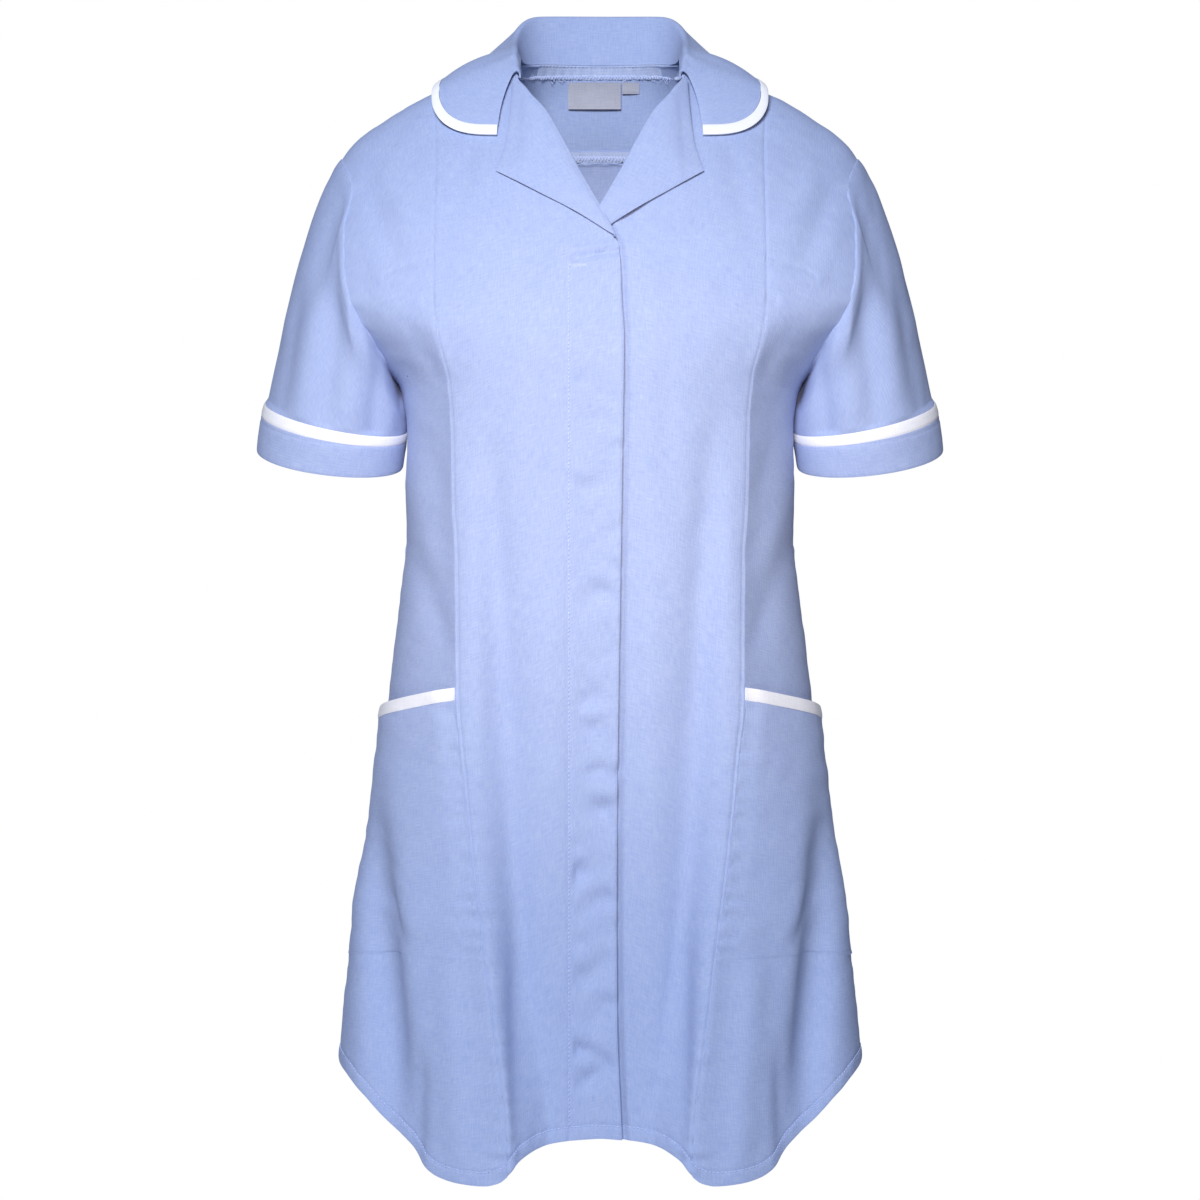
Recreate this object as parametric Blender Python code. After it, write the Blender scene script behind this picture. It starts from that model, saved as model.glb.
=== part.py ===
"""A maternity tunic of poly-cotton, filled out as if worn, as the pieces a maker cuts and sews.

+Z is up, -Y is the front, and +X is the wearer's left. Heights are measured from the level of the
points where the neck meets the shoulders, at X 0 and Y 0, where the tunic hangs on the wearer.
Sizes are in millimetres and MM turns them into metres. A height is negative below the shoulders.
A "turn" is an angle round the body from the centre front, and half a circle is the centre back.
"""

import math
from collections import namedtuple

import bmesh
import bpy
import numpy as np

MM = 0.001

# Cloth
WALL = 1.5
CUFF_WALL = 2.0
LABEL_WALL = 1.0
SEAM = 0.2          # each panel stops this far from its seam line
COLLAR_LAY = 2.2    # the collar rests lightly on the shoulders
POCKET_LAY = 1.4
LABEL_LAY = 1.9
PIPING_GAP = 0.35
LAPEL_LAY = 1.8
SHOULDER_GAP = 0.3
COLLAR_INSET = 1.7  # the stand rises just inside the neck edge

# Heights
NECK_POINT = 7.5
BACK_NECK = 11.7
SHOULDER_TIP = -67.5
UNDERARM = -244.0
SIDE_HEM = -739.0
POCKET_FOOT = -661.0

# Widths, from the centre line
NECK_HALF = 62.3
TIP_HALF = 193.5
UNDER_LAP = 24.0

# How far below the shoulder line the front and the back reach their full depth
FRONT_ROLL = 110.0
BACK_ROLL = 75.0

# Rows and columns of the panels' grids
ARM_ROWS = 12
LOWER_ROWS = 14
ROWS = ARM_ROWS + LOWER_ROWS
YOKE_ROWS = 4

BLUE = (0.376, 0.456, 0.787, 1.0)
BLUE_INSIDE = (0.352, 0.440, 0.760, 1.0)
WHITE = (0.90, 0.90, 0.92, 1.0)
GREY = (0.49, 0.49, 0.55, 1.0)

# The cross-sections of the body. "square" is 2 for an ellipse and more for a boxier one, "ridge"
# is how far the princess seams stand out, "valley" how far the centre panels sit back between
# them, and "side" how deep the fold is that runs down each side of the skirt, front and back.
Ring = namedtuple("Ring", "height half_width front back square ridge valley side")
RINGS = [
    Ring(0, 240.0, 52, 74, 2.0, 0.0, 0, 0),
    Ring(-38, 240.0, 62, 80, 2.0, 0.0, 0, 0),
    Ring(-98, 240.0, 88, 98, 2.0, 0.0, 0, 0),
    Ring(-143, 240.0, 108, 102, 2.0, 0.0, 0, 0),
    Ring(-176, 231.0, 119, 104, 2.1, 0.0, 0, 0),
    Ring(-195, 206.0, 123, 104, 2.2, 1.0, 0, 0),
    Ring(-216, 172.0, 124, 102, 2.35, 2.0, 0, 0),
    Ring(-244, 147.5, 122, 99, 2.5, 3.0, 0, 0),
    Ring(-270, 144.3, 119, 95, 2.5, 3.5, 0, 0),
    Ring(-323, 143.6, 116, 91, 2.5, 4.0, 2, 0),
    Ring(-375, 146.6, 114, 92, 2.5, 4.5, 4, 0),
    Ring(-435, 153.8, 113, 96, 2.5, 5.0, 6, 0),
    Ring(-510, 163.0, 112, 104, 2.5, 5.0, 9, 0),
    Ring(-555, 171.8, 112, 108, 2.5, 5.0, 11, 2),
    Ring(-600, 178.9, 113, 112, 2.5, 5.0, 14, 5),
    Ring(-645, 185.6, 115, 116, 2.5, 5.0, 18, 8),
    Ring(-690, 191.0, 117, 119, 2.5, 5.0, 22, 10),
    Ring(-735, 195.0, 119, 122, 2.5, 4.5, 25, 11),
    Ring(-840, 200.0, 121, 126, 2.5, 4.0, 28, 12),
]

# The top of the body from the centre outwards, up the neck's side and down the shoulder seam
Top = namedtuple("Top", "out height")
SHOULDER = [
    Top(0, 66), Top(20, 60), Top(40, 45), Top(52, 31), Top(60, 16), Top(62.3, 7.5), Top(90, -3.0),
    Top(116, -13.5), Top(139, -24.8), Top(161, -38.2), Top(173, -45.8), Top(184, -55.5),
    Top(193.5, -67.5), Top(205, -85),
]

# Seams and edges, as distances from the centre line at a height
Line = namedtuple("Line", "height out")
PRINCESS = [
    Line(-17, 124), Line(-79, 121), Line(-176, 121), Line(-204, 117.5), Line(-236, 110),
    Line(-270, 107), Line(-323, 106), Line(-368, 103.3), Line(-469, 102.4), Line(-513, 98.6),
    Line(-578, 92.5), Line(-650, 83.7), Line(-721, 75), Line(-776, 68), Line(-830, 66),
]
FRONT_ARMHOLE = [
    Line(-67.5, 193.5), Line(-80, 187), Line(-93, 183.5), Line(-106, 185), Line(-120, 188.5),
    Line(-150, 188), Line(-181, 182), Line(-198, 172), Line(-218, 160.5), Line(-238, 151),
    Line(-244, 147.5),
]
BACK_ARMHOLE = [
    Line(-67.5, 193.5), Line(-100, 187), Line(-140, 185), Line(-175, 180), Line(-200, 170.5),
    Line(-220, 160), Line(-238, 151), Line(-244, 147.5),
]
# The front edge: down the neck, along the lapel's fold, past the centre, and down the fly
FRONT_EDGE = [
    Line(7.5, 62.3), Line(-10.4, 61.6), Line(-23, 54), Line(-38, 41), Line(-60, 28.6),
    Line(-82, 17.5), Line(-115.5, -1), Line(-131, -8.7), Line(-143, -13.8), Line(-185, -16.0),
    Line(-207, -17.3), Line(-310, -16), Line(-614, -12.3), Line(-700, -12.8), Line(-790, -16.5),
]
LAP_EDGE = FRONT_EDGE[:9] + [Line(-190, -UNDER_LAP), Line(-790, -UNDER_LAP)]

# The hem's height round the body, by turn in degrees
Hem = namedtuple("Hem", "turn height")
HEM = [
    Hem(0, -789), Hem(5.5, -791.5), Hem(9, -795), Hem(12.6, -805), Hem(16.6, -818), Hem(20, -820.5),
    Hem(26, -819), Hem(31, -816), Hem(37, -808), Hem(43.5, -794), Hem(51, -780), Hem(61, -760),
    Hem(74, -745), Hem(90, -739), Hem(135, -757), Hem(180, -768),
]

# The sleeve, by its length down the outer side. "out" and "up" place the outer and the inner side,
# "deep" is half its size from front to back, and "tilt" drops the front of the ring.
Sleeve = namedtuple("Sleeve", "down outer_out outer_up inner_out inner_up deep tilt")
SLEEVE = [
    Sleeve(0, 193.5, -67.5, 147.5, -244.0, 66, 0.00),
    Sleeve(26, 207.0, -90.0, 147.9, -249.0, 66, 0.03),
    Sleeve(74, 222.8, -135.0, 148.0, -255.0, 64, 0.08),
    Sleeve(121, 235.5, -180.0, 148.0, -261.0, 60, 0.14),
    Sleeve(160, 244.5, -217.5, 147.5, -266.0, 56, 0.20),
    Sleeve(192, 251.2, -249.0, 147.2, -271.0, 52.5, 0.24),
    Sleeve(201.5, 253.5, -258.0, 147.2, -277.5, 52, 0.25),
    Sleeve(229, 257.2, -285.0, 149.4, -298.5, 50.5, 0.30),
]
PIPING_TOP = 192.0
PIPING_FOOT = 201.5
CUFF_FOOT = 229.0
CAP_FADE = 125.0    # the armhole's own shape has gone from the sleeve this far down

# The collar's ribs from the centre back to the front end: where each leaves the neck seam, how high
# its stand is, how far the stand leans out, and where its edge lies on the body.
Rib = namedtuple("Rib", "place neck_out neck_up stand lean edge_out edge_up crown")
RIBS = [
    Rib(0, 0, 0, 39, 7, 0, -6, 2),
    Rib(1, 24, 0, 39, 8, 34, -8, 2),
    Rib(2, 43, 0, 39, 11, 66, -14, 4),
    Rib(3, 55, 0, 30, 8, 92, -21, 7),
    Rib(4, 61.2, 0, 16, 4, 108, -19, 7),
    Rib(5, 62.3, 7.5, 10, 2, 117, -13, 6),
    Rib(6, 62.3, 5, 7, 2, 121.5, -22, 5),
    Rib(7, 62.3, 2.5, 7, 2, 121, -32, 5),
    Rib(8, 62.2, -0.5, 6, 1, 117, -42.5, 5),
    Rib(9, 62.1, -3.5, 6, 1, 109, -51, 5),
    Rib(10, 61.9, -6, 6, 1, 97, -56.5, 4),
    Rib(11, 61.8, -8.5, 6, 0, 84, -58.5, 4),
    Rib(12, 61.6, -10.4, 6, 0, 72, -59, 3),
]
LAST_RIB = len(RIBS) - 1
SHOULDER_RIB = 5
FOLD = 3.2          # radius of the collar's fold
STAND_SHARE = 0.22  # shares of a rib given to its stand and its fold
FOLD_SHARE = 0.24
BINDING = 8.0

# The lapel: its free edge from the top of the fold, out along the gorge to the corner, and back
Free = namedtuple("Free", "along out height")
GORGE = [Free(0, 65.0, -13.0), Free(0.22, 67.0, -42), Free(0.34, 69.6, -61), Free(0.44, 76.2, -83.5)]
UPPER_LAPEL = GORGE + [Free(0.62, 46.0, -101), Free(0.80, 17.0, -119), Free(1, -9.5, -138.5)]
UNDER_LAPEL = GORGE + [Free(0.62, 50.0, -98.5), Free(0.80, 28.0, -111), Free(1, 8.5, -121.0)]
LAPEL_TOP = -12.0
UPPER_FOOT = -136.5
UNDER_FOOT = -110.0
LAPEL_CORNER = 0.44
LAPEL_ROLL = 3.5

POCKET_TOP = -461.0
POCKET_SLANT = 17.0
POCKET_BINDING = 9.0
POCKET_GAPE = 3.0
POCKET_SIDE = math.radians(88.5)

LABEL_LEFT, LABEL_RIGHT, LABEL_TOP, LABEL_FOOT = -24.5, 16.0, -0.5, -20.5
TAB_LEFT, TAB_RIGHT, TAB_FOOT = 17.0, 30.0, -9.0


def along(rows, column, at):
    """Read a column smoothly between the rows of a table, never past the rows' own values."""
    keys = np.array([row[0] for row in rows], float)
    values = np.array([getattr(row, column) for row in rows], float)
    if keys[0] > keys[-1]:
        keys = keys[::-1]
        values = values[::-1]
    step = np.diff(keys)
    slope = np.diff(values) / step
    ends = np.zeros(len(keys))
    same_way = slope[:-1] * slope[1:] > 0
    ends[1:-1][same_way] = 2 * (slope[:-1] * slope[1:])[same_way] / (slope[:-1] + slope[1:])[same_way]
    ends[0] = slope[0]
    ends[-1] = slope[-1]
    at = np.clip(at, keys[0], keys[-1])
    row = np.clip(np.searchsorted(keys, at) - 1, 0, len(step) - 1)
    part = (at - keys[row]) / step[row]
    square = part * part
    cube = square * part
    level = (2 * cube - 3 * square + 1) * values[row] + (3 * square - 2 * cube) * values[row + 1]
    lean = (cube - 2 * square + part) * ends[row] + (cube - square) * ends[row + 1]
    return level + lean * step[row]


def ease(value):
    """Go from 0 to 1 with soft ends."""
    value = np.clip(value, 0, 1)
    return value * value * (3 - 2 * value)


def turn_at(out, height):
    """The turn from the centre front at which a ring is this far from the centre line."""
    half = along(RINGS, "half_width", height)
    square = along(RINGS, "square", height)
    share = np.clip(np.abs(out) / half, 0, 1) ** (square / 2)
    return np.sign(out) * np.arcsin(share)


def relief(turn, out, height):
    """How far the largest folds stand out of a ring, or sink into it."""
    in_front = np.cos(turn) > 0
    inside = along(PRINCESS, "out", height) - np.abs(out)
    ridge = along(RINGS, "ridge", height) * np.exp(-np.abs(inside) / 22)
    valley = along(RINGS, "valley", height) * ease((inside - 3) / 27)
    front_side = np.radians(68) + (np.radians(47) - np.radians(68)) * ease((-575 - height) / 215)
    away = np.where(in_front, np.abs(turn), math.pi - np.abs(turn))
    side = along(RINGS, "side", height) * np.exp(-((away - front_side) / 0.17) ** 2)
    pleat = 1.6 * ease((17 - np.abs(out)) / 4) * ease((height + 430) / 200)
    skirt = ease((-480 - height) / 260)
    waves = 5 * skirt * np.cos(np.abs(out) / 22) * ease((150 - np.abs(out)) / 50)
    return np.where(in_front, ridge - valley, pleat + waves) - side


def torso(turn, height):
    """A point of the body's outer surface, with the shoulders rolled over to their seams."""
    half = along(RINGS, "half_width", height)
    square = along(RINGS, "square", height)
    in_front = np.cos(turn) > 0
    deep = np.where(in_front, along(RINGS, "front", height), along(RINGS, "back", height))
    share_x = np.abs(np.sin(turn)) ** (2 / square)
    share_y = np.abs(np.cos(turn)) ** (2 / square)
    x = half * np.sign(np.sin(turn)) * share_x
    y = -deep * np.sign(np.cos(turn)) * share_y
    roll = np.where(in_front, FRONT_ROLL, BACK_ROLL)
    below = np.clip((along(SHOULDER, "height", np.abs(x)) - height) / roll, 0, 1)
    facing_x = np.sign(x) * share_x ** (square - 1) / half
    facing_y = np.sign(y) * share_y ** (square - 1) / deep
    size = np.hypot(facing_x, facing_y) + 1e-9
    fold = relief(turn, x, height)
    y = y * np.sqrt(1 - (1 - below) ** 2)
    return np.stack([x + facing_x / size * fold, y + facing_y / size * fold, height + 0 * x], -1)


def row_share(row_part, at_side):
    """How far down from its top to the hem a row lies, at the armhole and the side or elsewhere."""
    row = row_part * ROWS
    arm_part = np.clip(row / ARM_ROWS, 0, 1)
    lower_part = np.clip((row - ARM_ROWS) / LOWER_ROWS, 0, 1)
    arm_share = (UNDERARM - SHOULDER_TIP) / (SIDE_HEM - SHOULDER_TIP)
    side = arm_share * (1 - np.cos(math.pi * arm_part)) / 2 + (1 - arm_share) * lower_part
    middle = 0.295 * arm_part ** 1.5 + (1 - 0.295) * lower_part
    return middle + (side - middle) * at_side


def front_panel(side, inner, outer, at_side, inset=None):
    """A function that places a front panel between two edges, each a turn at a height."""
    def place(across, down):
        top = 0 * across
        foot = SIDE_HEM + 0 * across
        for _ in range(8):
            top_turn = inner(top) + (outer(top) - inner(top)) * across
            top = along(SHOULDER, "height", RINGS[0].half_width * np.sin(np.abs(top_turn)))
            hem_turn = inner(foot) + (outer(foot) - inner(foot)) * across
            foot = along(HEM, "height", np.degrees(np.abs(hem_turn)))
        height = top + (foot - top) * row_share(down, at_side(across))
        turn = inner(height) + (outer(height) - inner(height)) * across
        points = torso(side * turn, height)
        points[..., 1] -= SHOULDER_GAP * (1 - ease(8 * down))
        if inset is not None:
            points[..., 1] += inset(side * points[..., 0])
        return points
    return place


def centre_edge(edge):
    """The inner edge of a centre panel, as a turn from the panel's own side."""
    return lambda height: turn_at(along(edge, "out", height), height)


def princess_edge(gap):
    """The princess seam, moved out or in by a gap."""
    return lambda height: turn_at(along(PRINCESS, "out", height) + gap, height)


def armhole_edge(height):
    """The front armhole, and the side seam below it."""
    half = along(RINGS, "half_width", height)
    out = np.where(height > UNDERARM, along(FRONT_ARMHOLE, "out", height), half)
    return turn_at(np.minimum(out, half), height) - SEAM / 150


def centre_panel(side, edge, inset=None):
    """A centre panel, from its front edge to the princess seam."""
    return front_panel(side, centre_edge(edge), princess_edge(-SEAM), lambda across: 0 * across, inset)


def side_panel(side):
    """A side-front panel, from the princess seam to the armhole and the side seam."""
    return front_panel(side, princess_edge(SEAM), armhole_edge, lambda across: np.clip(across, 0, 1))


def under_fly(x):
    """How far the lower front sinks to pass under the fly of the upper one."""
    return (WALL + 0.8) * (1 - ease((x - UNDER_LAP) / 14))


def back_panel(first_row, last_row, first_gap, last_gap):
    """A function that places a back panel between two rows of the body's grid."""
    widest = float(turn_at(TIP_HALF, 0.0)) - SEAM / 150
    neck_share = float(turn_at(NECK_HALF, 0.0)) / widest

    def place(across, down):
        from_centre = 2 * across - 1
        far = np.abs(from_centre)
        beyond = neck_share + (far - 0.3) / 0.7 * (1 - neck_share)
        part = np.where(far < 0.3, far / 0.3 * neck_share, beyond)
        top_out = RINGS[0].half_width * np.sin(part * widest)
        neck = BACK_NECK + (NECK_POINT - BACK_NECK) * (top_out / NECK_HALF) ** 4
        top = np.where(top_out < NECK_HALF, neck, along(SHOULDER, "height", top_out))
        foot = along(HEM, "height", 180 - 90 * part)
        row = (first_row + (last_row - first_row) * down) / ROWS
        yoke_end = YOKE_ROWS / ROWS
        share = row_share(row, part)
        seam = -61 - 50.6 * part ** 2
        seam_share = (seam - top) / (foot - top)
        plain = row_share(yoke_end + 0 * part, part)
        lower = seam_share + (share - plain) / (1 - plain) * (1 - seam_share)
        share = np.where(row < yoke_end, share / plain * seam_share, lower)
        height = top + (foot - top) * share - first_gap * (1 - down) + last_gap * down
        half = along(RINGS, "half_width", height)
        out = np.where(height > UNDERARM, along(BACK_ARMHOLE, "out", height), half)
        limit = turn_at(np.minimum(out, half), height) - SEAM / 150
        points = torso(np.sign(from_centre + 1e-12) * (math.pi - part * limit), height)
        points[..., 1] += SHOULDER_GAP * (1 - ease(8 * row))
        return points
    return place


def armhole(round_turn):
    """The armhole from the shoulder tip down the front and up the back, on the wearer's left."""
    height = SHOULDER_TIP + (UNDERARM - SHOULDER_TIP) * (1 - np.cos(round_turn)) / 2
    in_front = np.sin(round_turn) >= 0
    before = along(FRONT_ARMHOLE, "out", height)
    out = np.where(in_front, before, along(BACK_ARMHOLE, "out", height))
    turn = turn_at(np.minimum(out, along(RINGS, "half_width", height)), height)
    return torso(np.where(in_front, turn, math.pi - turn), height)


def sleeve_ring(round_turn, down):
    """The sleeve's plain oval at a length down its outer side."""
    middle = []
    for side in ("out", "up"):
        outer = along(SLEEVE, "outer_" + side, down)
        inner = along(SLEEVE, "inner_" + side, down)
        middle.append((outer + inner) / 2 + (outer - inner) / 2 * np.cos(round_turn))
    forward = along(SLEEVE, "deep", down) * np.sin(round_turn)
    return np.stack([middle[0], -forward, middle[1] - along(SLEEVE, "tilt", down) * forward], -1)


def sleeve_part(side, first, last, proud):
    """A function that places a stretch of the sleeve between two lengths."""
    def place(across, down):
        round_turn = 2 * math.pi * across
        length = first + (last - first) * down
        points = sleeve_ring(round_turn, length)
        own_shape = armhole(round_turn) - sleeve_ring(round_turn, 0 * length)
        points += own_shape * (1 - ease(length / CAP_FADE))[..., None]
        points[..., 0] += 0.5
        outer = along(SLEEVE, "outer_out", length)
        middle = (outer + along(SLEEVE, "inner_out", length)) / 2
        if proud:
            away = points - np.stack([middle, 0 * middle, points[..., 2]], -1)
            away[..., 2] = 0
            points += away / np.linalg.norm(away, axis=-1)[..., None] * proud
        points[..., 0] *= side
        return points
    return place


def on_front(out, height, proud):
    """A point standing proud of the front, on the wearer's left."""
    points = torso(turn_at(out, height), height)
    near_top = 1 - ease((along(SHOULDER, "height", out) - height) / 70)
    points[..., 1] -= proud
    points[..., 2] += proud * near_top
    return points


def neck_seam(rib):
    """Where a rib leaves the neckline, at the back and then down the front edge."""
    out = along(RIBS, "neck_out", rib)
    at_back = rib < SHOULDER_RIB
    hollow = (np.minimum(out, NECK_HALF) / NECK_HALF) ** 4
    back_up = BACK_NECK + (NECK_POINT - BACK_NECK) * hollow
    up = np.where(at_back, back_up, along(RIBS, "neck_up", np.maximum(rib, SHOULDER_RIB)))
    turn = turn_at(out, up)
    return torso(np.where(at_back, math.pi - turn, turn), up)


def collar_edge(rib):
    """Where a rib's free edge lies on the back or the front of the body."""
    out = along(RIBS, "edge_out", rib)
    up = along(RIBS, "edge_up", rib)
    up = np.minimum(up, along(SHOULDER, "height", out) - 0.05)
    turn = turn_at(out, up)
    behind = torso(math.pi - turn, up)
    before = torso(turn, up)
    share = ease((rib - SHOULDER_RIB) * 10 + 0.5)[..., None]
    return behind + (before - behind) * share


def clear_of_body(points, room):
    """Lift points that would sink into the shoulders."""
    out, y, up = points[..., 0], points[..., 1], points[..., 2]
    shoulder = along(SHOULDER, "height", np.abs(out))
    lowered = up - 2 * room * np.clip(1 - (shoulder - up) / 45, 0, 1)
    turn = turn_at(out, lowered)
    front = torso(turn, lowered)[..., 1] - room
    back = torso(math.pi - turn, lowered)[..., 1] + room
    below = lowered < shoulder
    low = np.where(y < 0, np.minimum(y, front), np.maximum(y, back))
    points[..., 1] = np.where(below, low, y)
    return points


def collar_part(first, last, proud):
    """A function that places the collar between two shares of its ribs' length."""
    def place(across, down):
        from_back = (2 * across - 1) * LAST_RIB
        rib = np.clip(np.abs(from_back), 0, LAST_RIB)
        share = first(rib) + (last(rib) - first(rib)) * down
        neck = neck_seam(rib)
        edge = collar_edge(rib)
        forward = neck_seam(rib + 0.1) - neck_seam(rib - 0.1)
        out = np.stack([-forward[..., 1], forward[..., 0], 0 * rib], -1)
        out /= np.linalg.norm(out, axis=-1)[..., None]
        up = np.array([0.0, 0.0, 1.0])
        neck = neck - out * (WALL + COLLAR_INSET) + up * 0.6
        top = neck + out * (along(RIBS, "lean", rib) + FOLD)[..., None]
        top = top + up * (along(RIBS, "stand", rib) - FOLD)[..., None]
        stand = np.clip(share / STAND_SHARE, 0, 1)[..., None]
        bend = math.pi * (1 - np.clip((share - STAND_SHARE) / FOLD_SHARE, 0, 1))[..., None]
        falling = (share - STAND_SHARE - FOLD_SHARE) / (1 - STAND_SHARE - FOLD_SHARE)
        fall = np.clip(falling, 0, 1)[..., None]
        on_stand = neck + (top - out * FOLD - neck) * stand
        on_bend = top + out * FOLD * np.cos(bend) + up * FOLD * np.sin(bend)
        start = top + out * FOLD
        edge = edge + (out + up) * (WALL + COLLAR_LAY)
        crown = along(RIBS, "crown", rib)[..., None] * 4 * fall * (1 - fall)
        on_fall = start + (edge - start) * fall + (out + up) * 0.7 * crown
        points = np.where(share[..., None] < STAND_SHARE, on_stand, on_bend)
        points = np.where(fall > 0, on_fall, points)
        lifted = clear_of_body(points.copy(), WALL + COLLAR_LAY)
        points = np.where(fall > 0, lifted, points)
        points = points + (out + up * 0.5) * proud * (fall > 0)
        points[..., 0] *= np.sign(from_back + 1e-12)
        return points
    return place


def neck_end(rib):
    """The collar starts at the neck seam."""
    return 0 * rib


def binding_start(rib):
    """The share of a rib where the bound edge begins."""
    length = np.linalg.norm(collar_edge(rib) - neck_seam(rib), axis=-1)
    return 1 - (1 - STAND_SHARE - FOLD_SHARE) * BINDING / length


def cloth_end(rib):
    """The collar's own cloth stops just short of the binding."""
    return binding_start(rib) - 0.003


def binding_top(rib):
    """The binding starts just past the cloth."""
    return binding_start(rib) + 0.003


def free_end(rib):
    """The binding ends at the collar's free edge."""
    return 1 + 0 * rib


def lapel(side, free_edge, foot):
    """A function that places a lapel from its fold to its free edge."""
    def place(across, down):
        height = LAPEL_TOP + (foot - LAPEL_TOP) * across
        fold_out = along(FRONT_EDGE, "out", height)
        edge_out = along_corner(free_edge, across, "out")
        edge_up = along_corner(free_edge, across, "height")
        out = fold_out + (edge_out - fold_out) * down
        up = height + (edge_up - height) * down
        swell = LAPEL_ROLL * np.sin(math.pi * np.sqrt(down)) * np.sin(math.pi * np.clip(across, 0, 1))
        points = on_front(out, up, LAPEL_LAY + WALL + swell)
        points[..., 0] *= side
        return points
    return place


def along_corner(free_edge, across, column):
    """Read a lapel's free edge, keeping its corner sharp."""
    gorge = along(GORGE, column, across)
    lower = along(free_edge[len(GORGE) - 1:], column, across)
    return np.where(across < LAPEL_CORNER, gorge, lower)


def pocket_part(side, first, last, proud):
    """A function that places a pocket between two distances below its slanted top."""
    def place(across, down):
        top = POCKET_TOP - POCKET_SLANT * across
        foot = POCKET_FOOT + 0 * across
        start = top - first
        end = foot if last is None else top - last
        height = start + (end - start) * down
        inner = turn_at(along(PRINCESS, "out", height) + 1.0, height)
        turn = inner + (POCKET_SIDE - inner) * across
        points = torso(turn, height)
        ahead = torso(turn + 0.01, height) - torso(turn - 0.01, height)
        facing = np.stack([ahead[..., 1], -ahead[..., 0], 0 * height], -1)
        facing /= np.linalg.norm(facing, axis=-1)[..., None]
        depth = (top - height) / (top - foot)
        open_part = np.clip(across / 0.15, 0, 1) * np.clip((1 - across) / 0.1 + 0.5, 0, 1)
        gape = POCKET_GAPE * np.clip(1 - depth, 0, 1) ** 1.5 * open_part
        points += facing * (POCKET_LAY + WALL + proud + gape)[..., None]
        points[..., 0] *= side
        return points
    return place


def inside_back(left, right, top, foot):
    """A function that places a label on the inside of the yoke."""
    def place(across, down):
        out = left + (right - left) * across
        height = top + (foot - top) * down
        points = torso(math.pi - turn_at(out, height), height)
        points[..., 1] -= WALL + LABEL_LAY + LABEL_WALL
        return points
    return place


def cloth(name, colour, roughness=0.85):
    """A dyed cloth."""
    material = bpy.data.materials.new(name)
    material.use_nodes = True
    shader = material.node_tree.nodes["Principled BSDF"]
    shader.inputs["Base Color"].default_value = colour
    shader.inputs["Roughness"].default_value = roughness
    shader.inputs["Metallic"].default_value = 0.0
    return material


def grid_points(place, across_parts, down_parts, facing):
    """The outer points of a piece, and the direction that each faces."""
    across, down = np.meshgrid(across_parts, down_parts)
    near, far = 0.02, 0.004
    points = place(across, down)
    along_across = place(across + near, down) - place(across - near, down)
    low = np.clip(down - far, 0, 1)
    high = np.clip(down + far, 0, 1)
    along_down = place(across, high) - place(across, low)
    normals = np.cross(along_across, along_down) * facing
    normals /= np.linalg.norm(normals, axis=-1)[..., None]
    return points, normals


def piece(name, material, place, across_parts, down_parts, facing, wall=WALL, tube=False):
    """Cut a piece of cloth: its outer points, the same points moved in by the wall, and its rim."""
    points, normals = grid_points(place, across_parts, down_parts, facing)
    if tube:
        points = points[:, :-1]
        normals = normals[:, :-1]
    rows, columns = points.shape[:2]
    mesh = bpy.data.meshes.new(name)
    work = bmesh.new()
    outer = [work.verts.new(point * MM) for point in points.reshape(-1, 3)]
    inner = [work.verts.new(point * MM) for point in (points - normals * wall).reshape(-1, 3)]

    def at(layer, row, column):
        return layer[row * columns + column % columns]

    spans = columns if tube else columns - 1
    for row in range(rows - 1):
        for column in range(spans):
            for layer in (outer, inner):
                work.faces.new([at(layer, row, column), at(layer, row, column + 1),
                                at(layer, row + 1, column + 1), at(layer, row + 1, column)])
    for row in (0, rows - 1):
        for column in range(spans):
            work.faces.new([at(outer, row, column), at(outer, row, column + 1),
                            at(inner, row, column + 1), at(inner, row, column)])
    if not tube:
        for column in (0, columns - 1):
            for row in range(rows - 1):
                work.faces.new([at(outer, row, column), at(outer, row + 1, column),
                                at(inner, row + 1, column), at(inner, row, column)])
    bmesh.ops.recalc_face_normals(work, faces=work.faces)
    work.to_mesh(mesh)
    work.free()
    mesh.shade_smooth()
    mesh.set_sharp_from_angle(angle=math.radians(50))
    mesh.materials.append(material)
    made = bpy.data.objects.new(name, mesh)
    bpy.context.scene.collection.objects.link(made)
    return made


def parts(count, first=0.0, last=1.0):
    """Even parts of a stretch."""
    return np.linspace(first, last, count + 1)


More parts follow.
